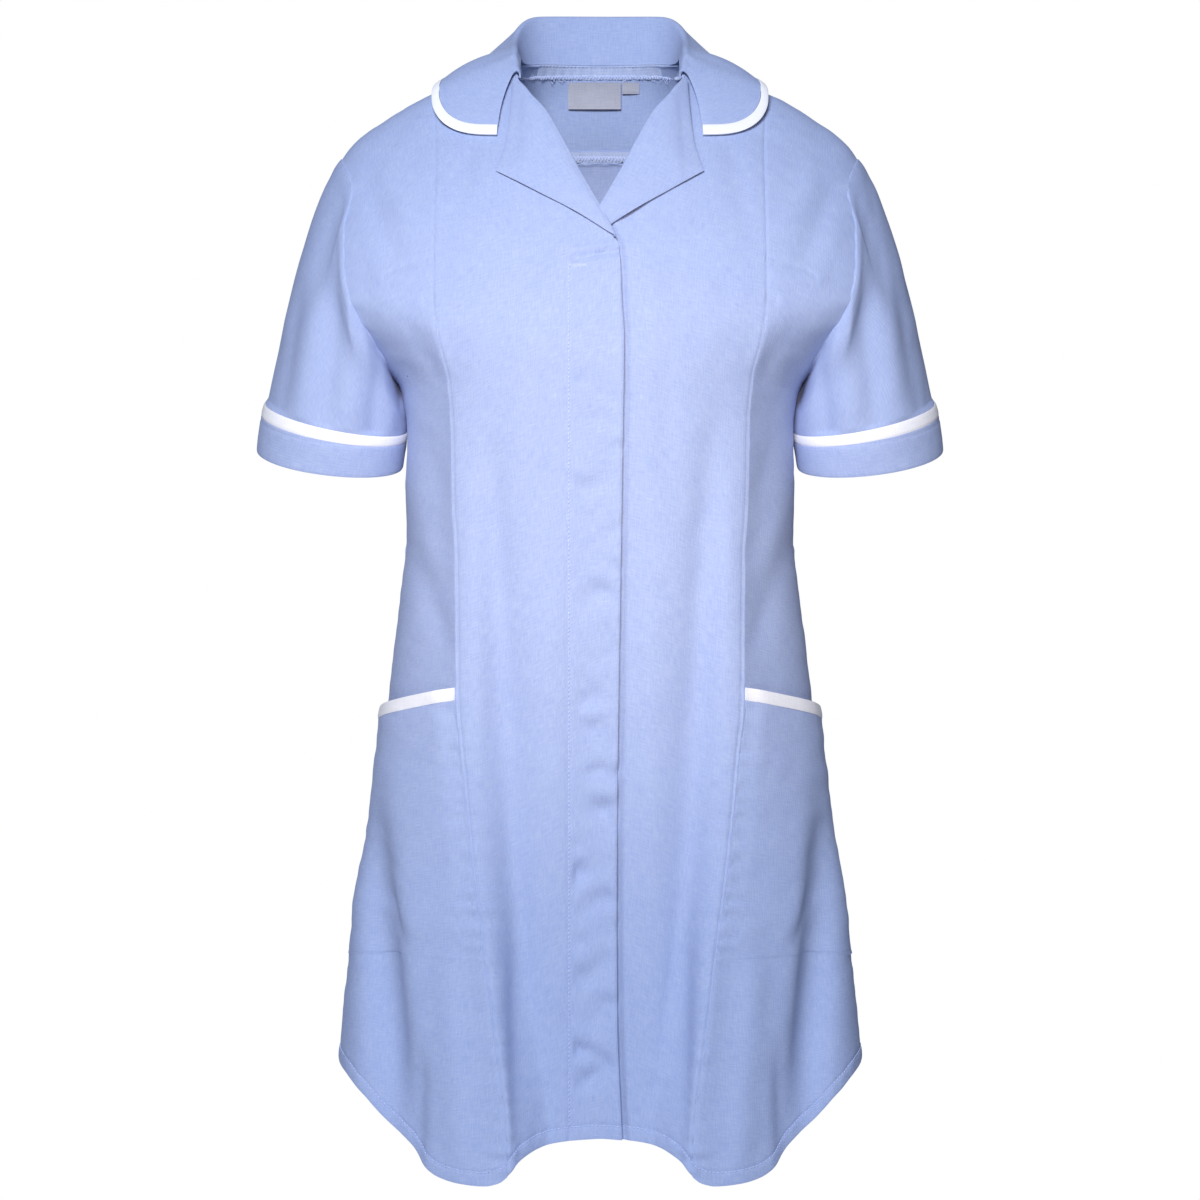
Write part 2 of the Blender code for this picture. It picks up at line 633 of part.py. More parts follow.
def build():
    """Make every piece of the tunic."""
    for old in list(bpy.data.objects):
        bpy.data.objects.remove(old, do_unlink=True)

    blue = cloth("poly-cotton", BLUE)
    lining_side = cloth("poly-cotton inside", BLUE_INSIDE)
    white = cloth("white poly-cotton", WHITE)
    grey = cloth("label tape", GREY, 0.7)

    piece("back_yoke", lining_side, back_panel(0, YOKE_ROWS, 0, SEAM),
          parts(20), parts(YOKE_ROWS), 1)
    piece("back_panel", blue, back_panel(YOKE_ROWS, ROWS, SEAM, 0),
          parts(20), parts(ROWS - YOKE_ROWS), 1)
    piece("neck_label", grey, inside_back(LABEL_LEFT, LABEL_RIGHT, LABEL_TOP, LABEL_FOOT),
          parts(4), parts(2), -1, LABEL_WALL)
    piece("size_tab", grey, inside_back(TAB_LEFT, TAB_RIGHT, LABEL_TOP, TAB_FOOT),
          parts(2), parts(1), -1, LABEL_WALL)

    for hand, side in (("right", -1), ("left", 1)):
        if hand == "right":
            centre = centre_panel(side, FRONT_EDGE)
        else:
            centre = centre_panel(side, LAP_EDGE, under_fly)
        piece("front_centre_" + hand, blue, centre, parts(10), parts(ROWS), -side)
        piece("front_side_" + hand, blue, side_panel(side), parts(8), parts(ROWS), -side)
        piece("sleeve_" + hand, blue, sleeve_part(side, 0.3, PIPING_TOP - SEAM, 0),
              parts(2 * ARM_ROWS), parts(9), side, tube=True)
        strip = sleeve_part(side, PIPING_TOP + PIPING_GAP, PIPING_FOOT - PIPING_GAP, 0.6)
        piece("cuff_piping_" + hand, white, strip, parts(2 * ARM_ROWS), parts(1), side, tube=True)
        piece("cuff_" + hand, blue, sleeve_part(side, PIPING_FOOT + SEAM, CUFF_FOOT, 0.4),
              parts(2 * ARM_ROWS), parts(2), side, CUFF_WALL, tube=True)
        corner_parts = np.append(parts(4, 0, LAPEL_CORNER), parts(4, LAPEL_CORNER, 1)[1:])
        if hand == "right":
            folded = lapel(side, UPPER_LAPEL, UPPER_FOOT)
        else:
            folded = lapel(side, UNDER_LAPEL, UNDER_FOOT)
        piece("lapel_" + hand, blue, folded, corner_parts, parts(5), side)
        piece("pocket_" + hand, blue, pocket_part(side, POCKET_BINDING + SEAM, None, 0),
              parts(8), parts(6), -side)
        piece("pocket_binding_" + hand, white,
              pocket_part(side, 0, POCKET_BINDING - SEAM, 0.5), parts(8), parts(1), -side, WALL + 0.5)

    ribs = parts(2 * LAST_RIB)
    stand_and_fold = np.append(parts(2, 0, 0.22), parts(4, 0.22, 0.46)[1:])
    collar_down = np.append(stand_and_fold, parts(4, 0.46, 1)[1:])
    piece("collar", blue, collar_part(neck_end, cloth_end, 0), ribs, collar_down, 1)
    piece("collar_binding", white, collar_part(binding_top, free_end, 0.3),
          ribs, parts(1), 1, WALL + 0.3)


build()
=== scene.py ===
# %% [markdown]
# # A maternity tunic in hospital blue, filled out with nobody in it
# This lesson dresses a plain CAD model of a nurse's maternity tunic. The CAD already has every
# panel as its own solid, in its place. Here each solid is replaced by a thin shell of cloth that
# follows the same form and carries what the solid leaves out: soft folds, puckered seams, a
# turned hem, stitches and a woven surface. A simulation could drape it, but the photograph shows
# one exact set of folds, so they are placed on the form one by one, as a sculptor would place them.
#
# +Z is up, -Y is the front and +X is the wearer's left. Sizes are in millimetres, and MM turns
# them into metres at the moment a mesh is made.

import math
from collections import namedtuple

import bpy
import numpy as np
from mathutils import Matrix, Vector

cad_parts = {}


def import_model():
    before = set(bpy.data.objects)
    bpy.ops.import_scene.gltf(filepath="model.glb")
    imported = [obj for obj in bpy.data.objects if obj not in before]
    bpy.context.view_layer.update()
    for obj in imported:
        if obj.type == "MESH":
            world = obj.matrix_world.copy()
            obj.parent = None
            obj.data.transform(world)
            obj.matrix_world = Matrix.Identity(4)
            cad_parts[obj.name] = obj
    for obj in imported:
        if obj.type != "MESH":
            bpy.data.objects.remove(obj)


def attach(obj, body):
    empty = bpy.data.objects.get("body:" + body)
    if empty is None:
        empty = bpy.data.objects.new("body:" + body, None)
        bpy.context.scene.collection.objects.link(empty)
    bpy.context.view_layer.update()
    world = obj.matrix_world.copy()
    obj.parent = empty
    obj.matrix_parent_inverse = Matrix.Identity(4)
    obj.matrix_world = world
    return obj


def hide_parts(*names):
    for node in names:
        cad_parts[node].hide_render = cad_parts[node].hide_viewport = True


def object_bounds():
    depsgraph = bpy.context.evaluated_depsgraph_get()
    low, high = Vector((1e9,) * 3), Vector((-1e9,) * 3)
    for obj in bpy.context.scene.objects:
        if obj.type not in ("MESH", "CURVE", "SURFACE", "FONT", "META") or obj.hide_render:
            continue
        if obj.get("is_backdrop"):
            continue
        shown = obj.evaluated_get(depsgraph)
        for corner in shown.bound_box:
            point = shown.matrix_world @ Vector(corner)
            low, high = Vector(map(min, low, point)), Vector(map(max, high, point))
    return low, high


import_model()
cad_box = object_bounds()
MM = 0.001
print("CAD box, mm:", [[round(value / MM, 1) for value in corner] for corner in cad_box])


# %% [markdown]
# ## The form that the cloth lies on
# A pattern cutter describes a body by cross-sections at known heights and by seam lines on it.
# The CAD was made from the same tables, so repeating them puts every shell exactly on its solid,
# with as many points as the folds need. A table is read through a smooth curve that never passes
# its own rows, so a seam doesn't wiggle between two measured heights.

# %% Cross-sections
WALL = 1.5                # the CAD's cloth, and what the laps below are worked out from
NECK_POINT, BACK_NECK, SHOULDER_TIP = 7.5, 11.7, -67.5
UNDERARM, SIDE_HEM, POCKET_FOOT = -244.0, -739.0, -661.0
NECK_HALF, TIP_HALF, UNDER_LAP = 62.3, 193.5, 24.0
WAIST = -300.0          # the height of the waist


def table(columns, rows):
    """Give the columns of a table their names."""
    kind = namedtuple("Row", columns)
    return [kind(*row) for row in rows]


RINGS = table("height half_width front back square ridge valley side", [
    (0, 240, 52, 74, 2, 0, 0, 0), (-38, 240, 62, 80, 2, 0, 0, 0), (-98, 240, 88, 98, 2, 0, 0, 0),
    (-143, 240, 108, 102, 2, 0, 0, 0), (-176, 231, 119, 104, 2.1, 0, 0, 0),
    (-195, 206, 123, 104, 2.2, 1, 0, 0), (-216, 172, 124, 102, 2.35, 2, 0, 0),
    (-244, 147.5, 122, 99, 2.5, 3, 0, 0), (-270, 144.3, 119, 95, 2.5, 3.5, 0, 0),
    (-323, 143.6, 116, 91, 2.5, 4, 2, 0), (-375, 146.6, 114, 92, 2.5, 4.5, 4, 0),
    (-435, 153.8, 113, 96, 2.5, 5, 6, 0), (-510, 163, 112, 104, 2.5, 5, 9, 0),
    (-555, 171.8, 112, 108, 2.5, 5, 11, 2), (-600, 178.9, 113, 112, 2.5, 5, 14, 5),
    (-645, 185.6, 115, 116, 2.5, 5, 18, 8), (-690, 191, 117, 119, 2.5, 5, 22, 10),
    (-735, 195, 119, 122, 2.5, 4.5, 25, 11), (-840, 200, 121, 126, 2.5, 4, 28, 12),
])
print("body sections:", len(RINGS), "over", RINGS[0].height - RINGS[-1].height, "mm")


# %% Seams and edges
# The top of the body from the centre outwards, up the neck's side and down the shoulder seam
SHOULDER = table("out height", [
    (0, 66), (20, 60), (40, 45), (52, 31), (60, 16), (62.3, 7.5), (90, -3), (116, -13.5),
    (139, -24.8), (161, -38.2), (173, -45.8), (184, -55.5), (193.5, -67.5), (205, -85),
])
# Seams and edges, as distances from the centre line at a height
LINE = "height out"
PRINCESS = table(LINE, [
    (-17, 124), (-79, 121), (-176, 121), (-204, 117.5), (-236, 110), (-270, 107), (-323, 106),
    (-368, 103.3), (-469, 102.4), (-513, 98.6), (-578, 92.5), (-650, 83.7), (-721, 75),
    (-776, 68), (-830, 66),
])
FRONT_ARMHOLE = table(LINE, [
    (-67.5, 193.5), (-80, 187), (-93, 183.5), (-106, 185), (-120, 188.5), (-150, 188),
    (-181, 182), (-198, 172), (-218, 160.5), (-238, 151), (-244, 147.5),
])
BACK_ARMHOLE = table(LINE, [
    (-67.5, 193.5), (-100, 187), (-140, 185), (-175, 180), (-200, 170.5), (-220, 160),
    (-238, 151), (-244, 147.5),
])
# The front edge: down the neck, along the lapel's fold, past the centre, and down the fly
FRONT_EDGE = table(LINE, [
    (7.5, 62.3), (-10.4, 61.6), (-23, 54), (-38, 41), (-60, 28.6), (-82, 17.5), (-115.5, -1),
    (-131, -8.7), (-143, -13.8), (-185, -16), (-207, -17.3), (-310, -16), (-614, -12.3),
    (-700, -12.8), (-790, -16.5),
])
LAP_EDGE = FRONT_EDGE[:9] + table(LINE, [(-190, -UNDER_LAP), (-790, -UNDER_LAP)])
# The hem's height round the body, by turn in degrees from the centre front
HEM = table("turn height", [
    (0, -789), (5.5, -791.5), (9, -795), (12.6, -805), (16.6, -818), (20, -820.5), (26, -819),
    (31, -816), (37, -808), (43.5, -794), (51, -780), (61, -760), (74, -745), (90, -739),
    (135, -757), (180, -768),
])
print("seam lines:", len(PRINCESS), "points on the princess seam,", len(HEM), "round the hem")


# %% Read a table, soften a step
def along(rows, column, at):
    """Read a column smoothly between the rows of a table, never past the rows' own values."""
    keys = np.array([row[0] for row in rows], float)
    values = np.array([getattr(row, column) for row in rows], float)
    if keys[0] > keys[-1]:
        keys = keys[::-1]
        values = values[::-1]
    step = np.diff(keys)
    slope = np.diff(values) / step
    ends = np.zeros(len(keys))
    same_way = slope[:-1] * slope[1:] > 0
    product = (slope[:-1] * slope[1:])[same_way]
    ends[1:-1][same_way] = 2 * product / (slope[:-1] + slope[1:])[same_way]
    ends[0] = slope[0]
    ends[-1] = slope[-1]
    at = np.clip(at, keys[0], keys[-1])
    row = np.clip(np.searchsorted(keys, at) - 1, 0, len(step) - 1)
    part = (at - keys[row]) / step[row]
    square = part * part
    cube = square * part
    level = (2 * cube - 3 * square + 1) * values[row] + (3 * square - 2 * cube) * values[row + 1]
    lean = (cube - 2 * square + part) * ends[row] + (cube - square) * ends[row + 1]
    return level + lean * step[row]


def ease(value):
    """Go from 0 to 1 with soft ends."""
    value = np.clip(value, 0, 1)
    return value * value * (3 - 2 * value)


def rise(at, start, over):
    """0 up to a start, and softly 1 a distance later."""
    return ease((at - start) / over)


def bump(away, width):
    """1 on a line, and softly 0 a width or two away from it."""
    return np.exp(-(away / width) ** 2)


print("half width at the waist, mm:", round(float(along(RINGS, "half_width", WAIST)), 1))


# %% The filled-out body
FRONT_ROLL, BACK_ROLL = 110.0, 75.0     # how far down the shoulders are rolled over
RIDGE_WIDE = 22                         # the ridge along the princess seam
SIDE_FOLD_HIGH, SIDE_FOLD_LOW, SIDE_FOLD_WIDE = np.radians(68), np.radians(47), 0.17
PLEAT_PROUD, PLEAT_HALF = 1.6, 17       # the box pleat in the middle of the back
BACK_WAVE, BACK_WAVE_LONG, BACK_WAVE_HALF = 5, 22, 150


def turn_at(out, height):
    """The turn from the centre front at which a ring is this far from the centre line."""
    half = along(RINGS, "half_width", height)
    square = along(RINGS, "square", height)
    share = np.clip(np.abs(out) / half, 0, 1) ** (square / 2)
    return np.sign(out) * np.arcsin(share)


def large_folds(turn, out, height):
    """How far the largest folds stand out of a ring, or sink into it, as in the CAD."""
    in_front = np.cos(turn) > 0
    out = np.abs(out)
    inside = along(PRINCESS, "out", height) - out
    ridge = along(RINGS, "ridge", height) * np.exp(-np.abs(inside) / RIDGE_WIDE)
    valley = along(RINGS, "valley", height) * rise(inside, start=3, over=27)
    side_turn = SIDE_FOLD_HIGH
    side_turn = side_turn + (SIDE_FOLD_LOW - SIDE_FOLD_HIGH) * rise(-height, start=575, over=215)
    away = np.where(in_front, np.abs(turn), math.pi - np.abs(turn))
    side = along(RINGS, "side", height) * bump(away - side_turn, SIDE_FOLD_WIDE)
    pleat = PLEAT_PROUD * rise(-out, -PLEAT_HALF, over=4)
    pleat = pleat * rise(height, start=-430, over=200) * rise(-height, start=12, over=45)
    waves = BACK_WAVE * rise(-height, start=480, over=260) * np.cos(out / BACK_WAVE_LONG)
    waves = waves * rise(-out, -BACK_WAVE_HALF, over=50)
    return np.where(in_front, ridge - valley, pleat + waves) - side


print("box pleat, mm wide:", 2 * PLEAT_HALF)


# %% A point of the body
def torso(turn, height):
    """A point of the body's outer surface, with the shoulders rolled over to their seams."""
    half = along(RINGS, "half_width", height)
    square = along(RINGS, "square", height)
    in_front = np.cos(turn) > 0
    deep = np.where(in_front, along(RINGS, "front", height), along(RINGS, "back", height))
    share_x = np.abs(np.sin(turn)) ** (2 / square)
    share_y = np.abs(np.cos(turn)) ** (2 / square)
    x = half * np.sign(np.sin(turn)) * share_x
    y = -deep * np.sign(np.cos(turn)) * share_y
    roll = np.where(in_front, FRONT_ROLL, BACK_ROLL)
    below = np.clip((along(SHOULDER, "height", np.abs(x)) - height) / roll, 0, 1)
    facing_x = np.sign(x) * share_x ** (square - 1) / half
    facing_y = np.sign(y) * share_y ** (square - 1) / deep
    size = np.hypot(facing_x, facing_y) + 1e-9
    fold = large_folds(turn, x, height)
    y = y * np.sqrt(1 - (1 - below) ** 2)
    return np.stack([x + facing_x / size * fold, y + facing_y / size * fold, height + 0 * x], -1)


def before(out, height):
    """A point of the body's front, at a distance from the centre line."""
    return torso(turn_at(out, height), height)


def behind(out, height):
    """The same on its back."""
    return torso(math.pi - turn_at(out, height), height)


print("front at the waist, mm:", np.round(before(np.array([0.0]), np.array([WAIST])), 1).tolist())


# %% Where each panel of the front lies
ARM_ROWS, LOWER_ROWS, YOKE_ROWS = 12, 14, 4
ROWS = ARM_ROWS + LOWER_ROWS
MIDDLE_ARM_SHARE, MIDDLE_BENDS = 0.295, 1.5     # the grid's rows at the centre, armhole to hem


def row_share(row_part, at_side):
    """How far down from its top to the hem a row lies, at the armhole and the side or elsewhere."""
    row = row_part * ROWS
    arm_part = np.clip(row / ARM_ROWS, 0, 1)
    lower_part = np.clip((row - ARM_ROWS) / LOWER_ROWS, 0, 1)
    arm_share = (UNDERARM - SHOULDER_TIP) / (SIDE_HEM - SHOULDER_TIP)
    side = arm_share * (1 - np.cos(math.pi * arm_part)) / 2 + (1 - arm_share) * lower_part
    middle = MIDDLE_ARM_SHARE * arm_part ** MIDDLE_BENDS + (1 - MIDDLE_ARM_SHARE) * lower_part
    return middle + (side - middle) * at_side


def front_panel(side, inner, outer, side_share, inset=None):
    """A function that places a front panel between two edges, each a turn at a height."""
    def place(across, down):
        top = 0 * across
        foot = SIDE_HEM + 0 * across
        for _ in range(8):
            top_turn = inner(top) + (outer(top) - inner(top)) * across
            top = along(SHOULDER, "height", RINGS[0].half_width * np.sin(np.abs(top_turn)))
            hem_turn = inner(foot) + (outer(foot) - inner(foot)) * across
            foot = along(HEM, "height", np.degrees(np.abs(hem_turn)))
        height = top + (foot - top) * row_share(down, side_share * across)
        turn = inner(height) + (outer(height) - inner(height)) * across
        points = torso(side * turn, height)
        if inset is not None:
            points[..., 1] += inset(side * points[..., 0], height)
        return points
    return place


print("rows of the body's grid:", ROWS)


# %% The fronts' edges, and the lap under the fly
LAP_CLEAR, LAP_STEP = 0.4, 3.6


def seam_turn(seam):
    """A function that gives a seam's turn at a height."""
    def turn(height):
        return turn_at(along(seam, "out", height), height)
    return turn


def limit_turn(armhole_line, height):
    """The turn of an armhole, and of the side seam below it."""
    half = along(RINGS, "half_width", height)
    out = np.where(height > UNDERARM, along(armhole_line, "out", height), half)
    return turn_at(np.minimum(out, half), height)


def armhole_turn(height):
    """The outer edge of a side-front."""
    return limit_turn(FRONT_ARMHOLE, height)


def centre_panel(side, edge, inset=None):
    """A centre panel, from its front edge to the princess seam."""
    return front_panel(side, seam_turn(edge), seam_turn(PRINCESS), 0, inset)


def side_panel(side):
    """A side-front panel, from the princess seam to the armhole and the side seam."""
    return front_panel(side, seam_turn(PRINCESS), armhole_turn, 1)


def under_fly(x, height):
    """How far the lower front sinks to pass under the fly of the upper one, steeply beside it."""
    past_edge = x + along(FRONT_EDGE, "out", height)
    steep = LAP_STEP * (1 - rise(past_edge, start=0.5, over=5.5))
    return (WALL + LAP_CLEAR) * (1 - rise(x, UNDER_LAP, over=14)) + steep


waist_edge = float(along(FRONT_EDGE, "out", WAIST))
print("the fronts overlap by", round(UNDER_LAP - waist_edge, 1), "mm at the waist")


# %% Where the back and the yoke lie
NECK_PART = 0.3                 # the share of the half back that lies under the neck
YOKE_SEAM, YOKE_SEAM_FALLS = -61, 50.6


def back_neck(out):
    """The height of the back neckline: nearly level, then up to the shoulder."""
    return BACK_NECK + (NECK_POINT - BACK_NECK) * (np.abs(out) / NECK_HALF) ** 4


def back_part(first_row, last_row):
    """A function that places a back panel between two rows of the body's grid."""
    widest = float(turn_at(TIP_HALF, 0.0))
    neck_share = float(turn_at(NECK_HALF, 0.0)) / widest

    def place(across, down):
        from_centre = 2 * across - 1
        far = np.abs(from_centre)
        beyond = neck_share + (far - NECK_PART) / (1 - NECK_PART) * (1 - neck_share)
        part = np.where(far < NECK_PART, far / NECK_PART * neck_share, beyond)
        top_out = RINGS[0].half_width * np.sin(part * widest)
        shoulder = along(SHOULDER, "height", top_out)
        top = np.where(top_out < NECK_HALF, back_neck(top_out), shoulder)
        foot = along(HEM, "height", 180 - 90 * part)
        row = (first_row + (last_row - first_row) * down) / ROWS
        yoke_end = YOKE_ROWS / ROWS
        share = row_share(row, part)
        seam_share = (YOKE_SEAM - YOKE_SEAM_FALLS * part ** 2 - top) / (foot - top)
        plain = row_share(yoke_end + 0 * part, part)
        lower = seam_share + (share - plain) / (1 - plain) * (1 - seam_share)
        share = np.where(row < yoke_end, share / plain * seam_share, lower)
        height = top + (foot - top) * share
        turn = part * limit_turn(BACK_ARMHOLE, height)
        return torso(np.sign(from_centre + 1e-12) * (math.pi - turn), height)
    return place


yoke_spread = back_part(0, YOKE_ROWS)(np.array([0.0, 1.0]), np.array([0.5, 0.5]))
print("yoke width at half its depth, mm:", round(float(np.ptp(yoke_spread[:, 0])), 1))


# %% [markdown]
# ## The shell: how a piece of cloth becomes a mesh
# Woven cloth is a thin sheet with two faces and a cut or turned edge. A plane with a Solidify
# modifier would do, but then the wall's thickness and the folds couldn't change from place to
# place. So each piece is made as a grid of outer points, moved along its own facing by the folds,
# with a second grid a cloth's thickness inside it and a rim that joins the two. The UV map holds
# millimetres of real cloth, measured along the grid, so a weave has one scale on every piece.

# %% Grids, facings and distances
CLOTH = 0.8     # the shell's wall: poly-cotton with its seam allowances and facings
Spot = namedtuple("Spot", "x y z first last sides top foot")


def parts(count, first=0.0, last=1.0):
    """Even parts of a stretch."""
    return np.linspace(first, last, count + 1)


def stretches(*pieces):
    """Parts of a stretch from 0 to 1, as pairs of a count and the share where it ends."""
    start = 0
    places = []
    for count, end in pieces:
        places.append(parts(count, start, end)[:-1])
        start = end
    return np.concatenate(places + [[start]])


def fine_ends(count, ends, share):
    """Parts of a stretch that lie closer together near both of its ends, for seams and hems."""
    near = parts(ends, 0, share)
    middle = parts(count, share, 1 - share)
    return np.concatenate([near, middle[1:-1], 1 - near[::-1]])


def unit(arrows):
    """Arrows of length 1."""
    return arrows / (np.linalg.norm(arrows, axis=-1)[..., None] + 1e-12)


def facings(points, facing, tube):
    """The direction that each point of a grid faces."""
    if tube:
        wide = np.concatenate([points[:, -2:-1], points, points[:, 1:2]], axis=1)
        along_across = np.gradient(wide, axis=1)[:, 1:-1]
    else:
        along_across = np.gradient(points, axis=1)
    return unit(np.cross(along_across, np.gradient(points, axis=0)) * facing)


def spots(points):
    """Each point's place, and its distance over the cloth from the grid's four edges."""
    over = np.linalg.norm(np.diff(points, axis=1), axis=-1)
    first = np.concatenate([0 * over[:, :1], np.cumsum(over, axis=1)], axis=1)
    fall = np.linalg.norm(np.diff(points, axis=0), axis=-1)
    top = np.concatenate([0 * fall[:1], np.cumsum(fall, axis=0)], axis=0)
    last = first[:, -1:] - first
    sides = np.minimum(first, last)
    return Spot(*np.moveaxis(points, -1, 0), first, last, sides, top, top[-1:] - top)


print("cloth's wall, mm:", CLOTH)


# %% Sew a grid into a closed shell
SHARP_EDGE = 62         # degrees: a rim is a sharp edge, a fold isn't
surfaces = {}


def in_scene(name, data):
    """Put a mesh, a light or a camera into the scene under a name."""
    thing = bpy.data.objects.new(name, data)
    bpy.context.scene.collection.objects.link(thing)
    return thing


def flat_area(points):
    """The area of a grid, summed over its cells, in square metres."""
    across = points[:-1, 1:] - points[:-1, :-1]
    down = points[1:, :-1] - points[:-1, :-1]
    return float(np.linalg.norm(np.cross(across, down), axis=-1).sum()) * MM * MM


def sew(name, material, outer, inner, tube=False):
    """Join an outer and an inner grid of points into one closed piece of cloth."""
    spot = spots(outer)
    middle = spot.first[:, spot.first.shape[1] // 2][:, None]
    cloth_across = (spot.first - middle) * MM
    cloth_down = spot.top * MM
    rows, columns = outer.shape[:2]
    kept = columns - 1 if tube else columns
    layer = rows * kept
    points = np.concatenate([outer[:, :kept].reshape(-1, 3), inner[:, :kept].reshape(-1, 3)]) * MM

    row, column = np.meshgrid(np.arange(rows - 1), np.arange(columns - 1), indexing="ij")
    row, column = row.ravel(), column.ravel()
    corner_rows = np.stack([row, row, row + 1, row + 1], -1)
    corner_columns = np.stack([column, column + 1, column + 1, column], -1)
    outer_faces = corner_rows * kept + corner_columns % kept
    faces = [outer_faces, outer_faces[:, ::-1] + layer]
    grid_rows = [corner_rows, corner_rows[:, ::-1]]
    grid_columns = [corner_columns, corner_columns[:, ::-1]]
    edges = [(np.zeros(columns - 1, int), np.arange(columns - 1), 0, 1),
             (np.full(columns - 1, rows - 1), np.arange(1, columns), 0, -1)]
    if not tube:
        edges.append((np.arange(1, rows), np.zeros(rows - 1, int), -1, 0))
        edges.append((np.arange(rows - 1), np.full(rows - 1, columns - 1), 1, 0))
    for edge_row, edge_column, step_row, step_column in edges:
        rim_rows = np.stack([edge_row, edge_row + step_row], -1)[:, [1, 0, 0, 1]]
        rim_columns = np.stack([edge_column, edge_column + step_column], -1)[:, [1, 0, 0, 1]]
        rim = rim_rows * kept + rim_columns % kept
        rim[:, 2:] += layer
        faces.append(rim)
        grid_rows.append(rim_rows)
        grid_columns.append(rim_columns)
    faces, grid_rows, grid_columns = map(np.concatenate, (faces, grid_rows, grid_columns))

    mesh = bpy.data.meshes.new(name)
    mesh.from_pydata(points.tolist(), [], faces.tolist())
    cloth_map = mesh.uv_layers.new(name="cloth")
    flat = np.stack([cloth_across[grid_rows, grid_columns], cloth_down[grid_rows, grid_columns]], -1)
    cloth_map.data.foreach_set("uv", flat.reshape(-1).astype(np.float32))
    mesh.shade_smooth()
    mesh.set_sharp_from_angle(angle=math.radians(SHARP_EDGE))
    mesh.materials.append(material)
    size = f"{spot.first[:, -1].max():.0f} x {spot.top[-1].max():.0f} mm, {flat_area(outer):.3f} m2"
    print(f"{name}: {2 * len(faces)} triangles, {size}")
    return in_scene(name, mesh)


print("edges are sharp from", SHARP_EDGE, "degrees")


# %% Lay a grid on the form
def smoothed(points, down_times, across_times=0):
    """Soften a grid down its length and across it, edges held, as pressed cloth softens a bend."""
    for turned, times in ((points, down_times), (points.swapaxes(0, 1), across_times)):
        for _ in range(times):
            turned[1:-1] = (turned[:-2] + 2 * turned[1:-1] + turned[2:]) / 4
    return points


def shell(name, material, place, across, down, facing, folds, wall=CLOTH, tube=False,
          smooth=(0, 0)):
    """Lay a grid on the form, fold it, and sew it to its own inner face."""
    points = place(*np.meshgrid(across, down))
    points = points + facings(points, facing, tube) * folds(spots(points))[..., None]
    points = smoothed(points, *smooth)
    out = facings(points, facing, tube)
    surfaces[name] = (points, out)
    return sew(name, material, points, points - out * wall, tube)


print("a shell is an outer face, an inner one", CLOTH, "mm behind it, and a rim")


# %% [markdown]
# ## Folds: soft troughs and ridges
# Cloth that hangs from a seam or a dart bends in long soft lines, and where two edges are sewn
# together with a little too much thread tension it puckers in a row of short ones. Each long
# crease is one line of the table below, read off the photograph: two ends on the front, how deep
# it is and how wide. A ridge has a positive depth and a trough a negative one. Both halves carry
# the same ones, because the photograph's two halves match, and the back has ones of the same
# kind.

# %% The creases, as lines on the front and on the back
CREASE = "out height to_out to_height depth width"
FRONT_CREASES = table(CREASE, [
    # the long troughs and ridges that fall from the bust beside the princess seam
    (80, -285, 66, -500, -2.6, 11), (66, -500, 52, -780, -2.2, 11), (40, -365, 33, -620, 2.2, 15),
    (92, -330, 88, -520, 1.6, 9),
    # the side-front's own folds, low down and beside the hip pocket
    (168, -560, 152, -760, -5.5, 11), (133, -730, 137, -812, -2.6, 7),
    (112, -660, 100, -815, 2.4, 12), (58, -640, 57, -820, -2.3, 8),
    (163, -612, 146, -648, -1.6, 6),
    # under the arm, where the side-front is drawn toward the side seam
    (141, -196, 120, -236, -0.6, 6), (148, -222, 128, -262, -0.6, 7),
    (122, -196, 112, -226, 0.9, 6), (140, -262, 116, -322, -0.8, 8),
    (143, -300, 124, -372, 1.2, 9), (146, -352, 112, -430, -1.2, 9),
    # across the bust and down the shoulder, barely there
    (172, -92, 150, -150, -1.3, 9), (160, -80, 134, -128, 0.9, 9), (96, -60, 108, -128, -0.8, 9),
    (121, -177, 129, -181, -0.9, 3.5), (70, -150, 96, -176, -0.6, 10),
    # the turned facing shows through the front beside the fly
    (52, -150, 47, -300, -0.5, 7),
])
BACK_CREASES = table(CREASE, [
    (14, -120, 30, -420, -1.6, 12), (62, -250, 84, -560, -2.4, 12), (104, -240, 96, -480, 2, 12),
    (38, -420, 46, -760, 2.2, 13), (84, -560, 92, -765, -2.4, 12), (130, -480, 138, -760, 2, 12),
    (150, -196, 118, -262, -1.8, 8), (146, -250, 110, -330, 1.4, 9),
    (150, -310, 100, -400, -1.4, 10), (168, -110, 128, -176, -1.2, 10),
    (20, -320, 60, -352, -0.9, 9), (10, -372, 56, -396, 0.8, 9),
])
SLEEVE_CREASES = table(CREASE, [
    (224, -165, 240, -262, -2.2, 8), (208, -170, 222, -268, 1.6, 9),
    (192, -168, 204, -276, -1.8, 8), (176, -186, 186, -274, 1.3, 8), (160, -214, 170, -290, -2, 7),
    (196, -112, 214, -178, -1.1, 8), (240, -200, 250, -266, -1.4, 6),
])
CREASE_ENDS = 0.25              # a crease fades over this share of its length beyond each end


def beside(x, z, start, end, ends):
    """How far points lie from a line, and 1 along it, 0 beyond its ends."""
    step_out, step_up = end[0] - start[0], end[1] - start[1]
    length = math.hypot(step_out, step_up)
    out, up = np.abs(x) - start[0], z - start[1]
    share = (out * step_out + up * step_up) / length ** 2
    on_it = rise(share, -ends, 2 * ends) * rise(-share, -1 - ends, 2 * ends)
    return (out * step_up - up * step_out) / length, on_it


def creased(creases, x, z):
    """The height of a table's creases over a point."""
    level = 0 * x
    for crease in creases:
        away, on_it = beside(x, z, crease[:2], crease[2:4], CREASE_ENDS)
        level += crease.depth * bump(away, crease.width) * on_it
    return level


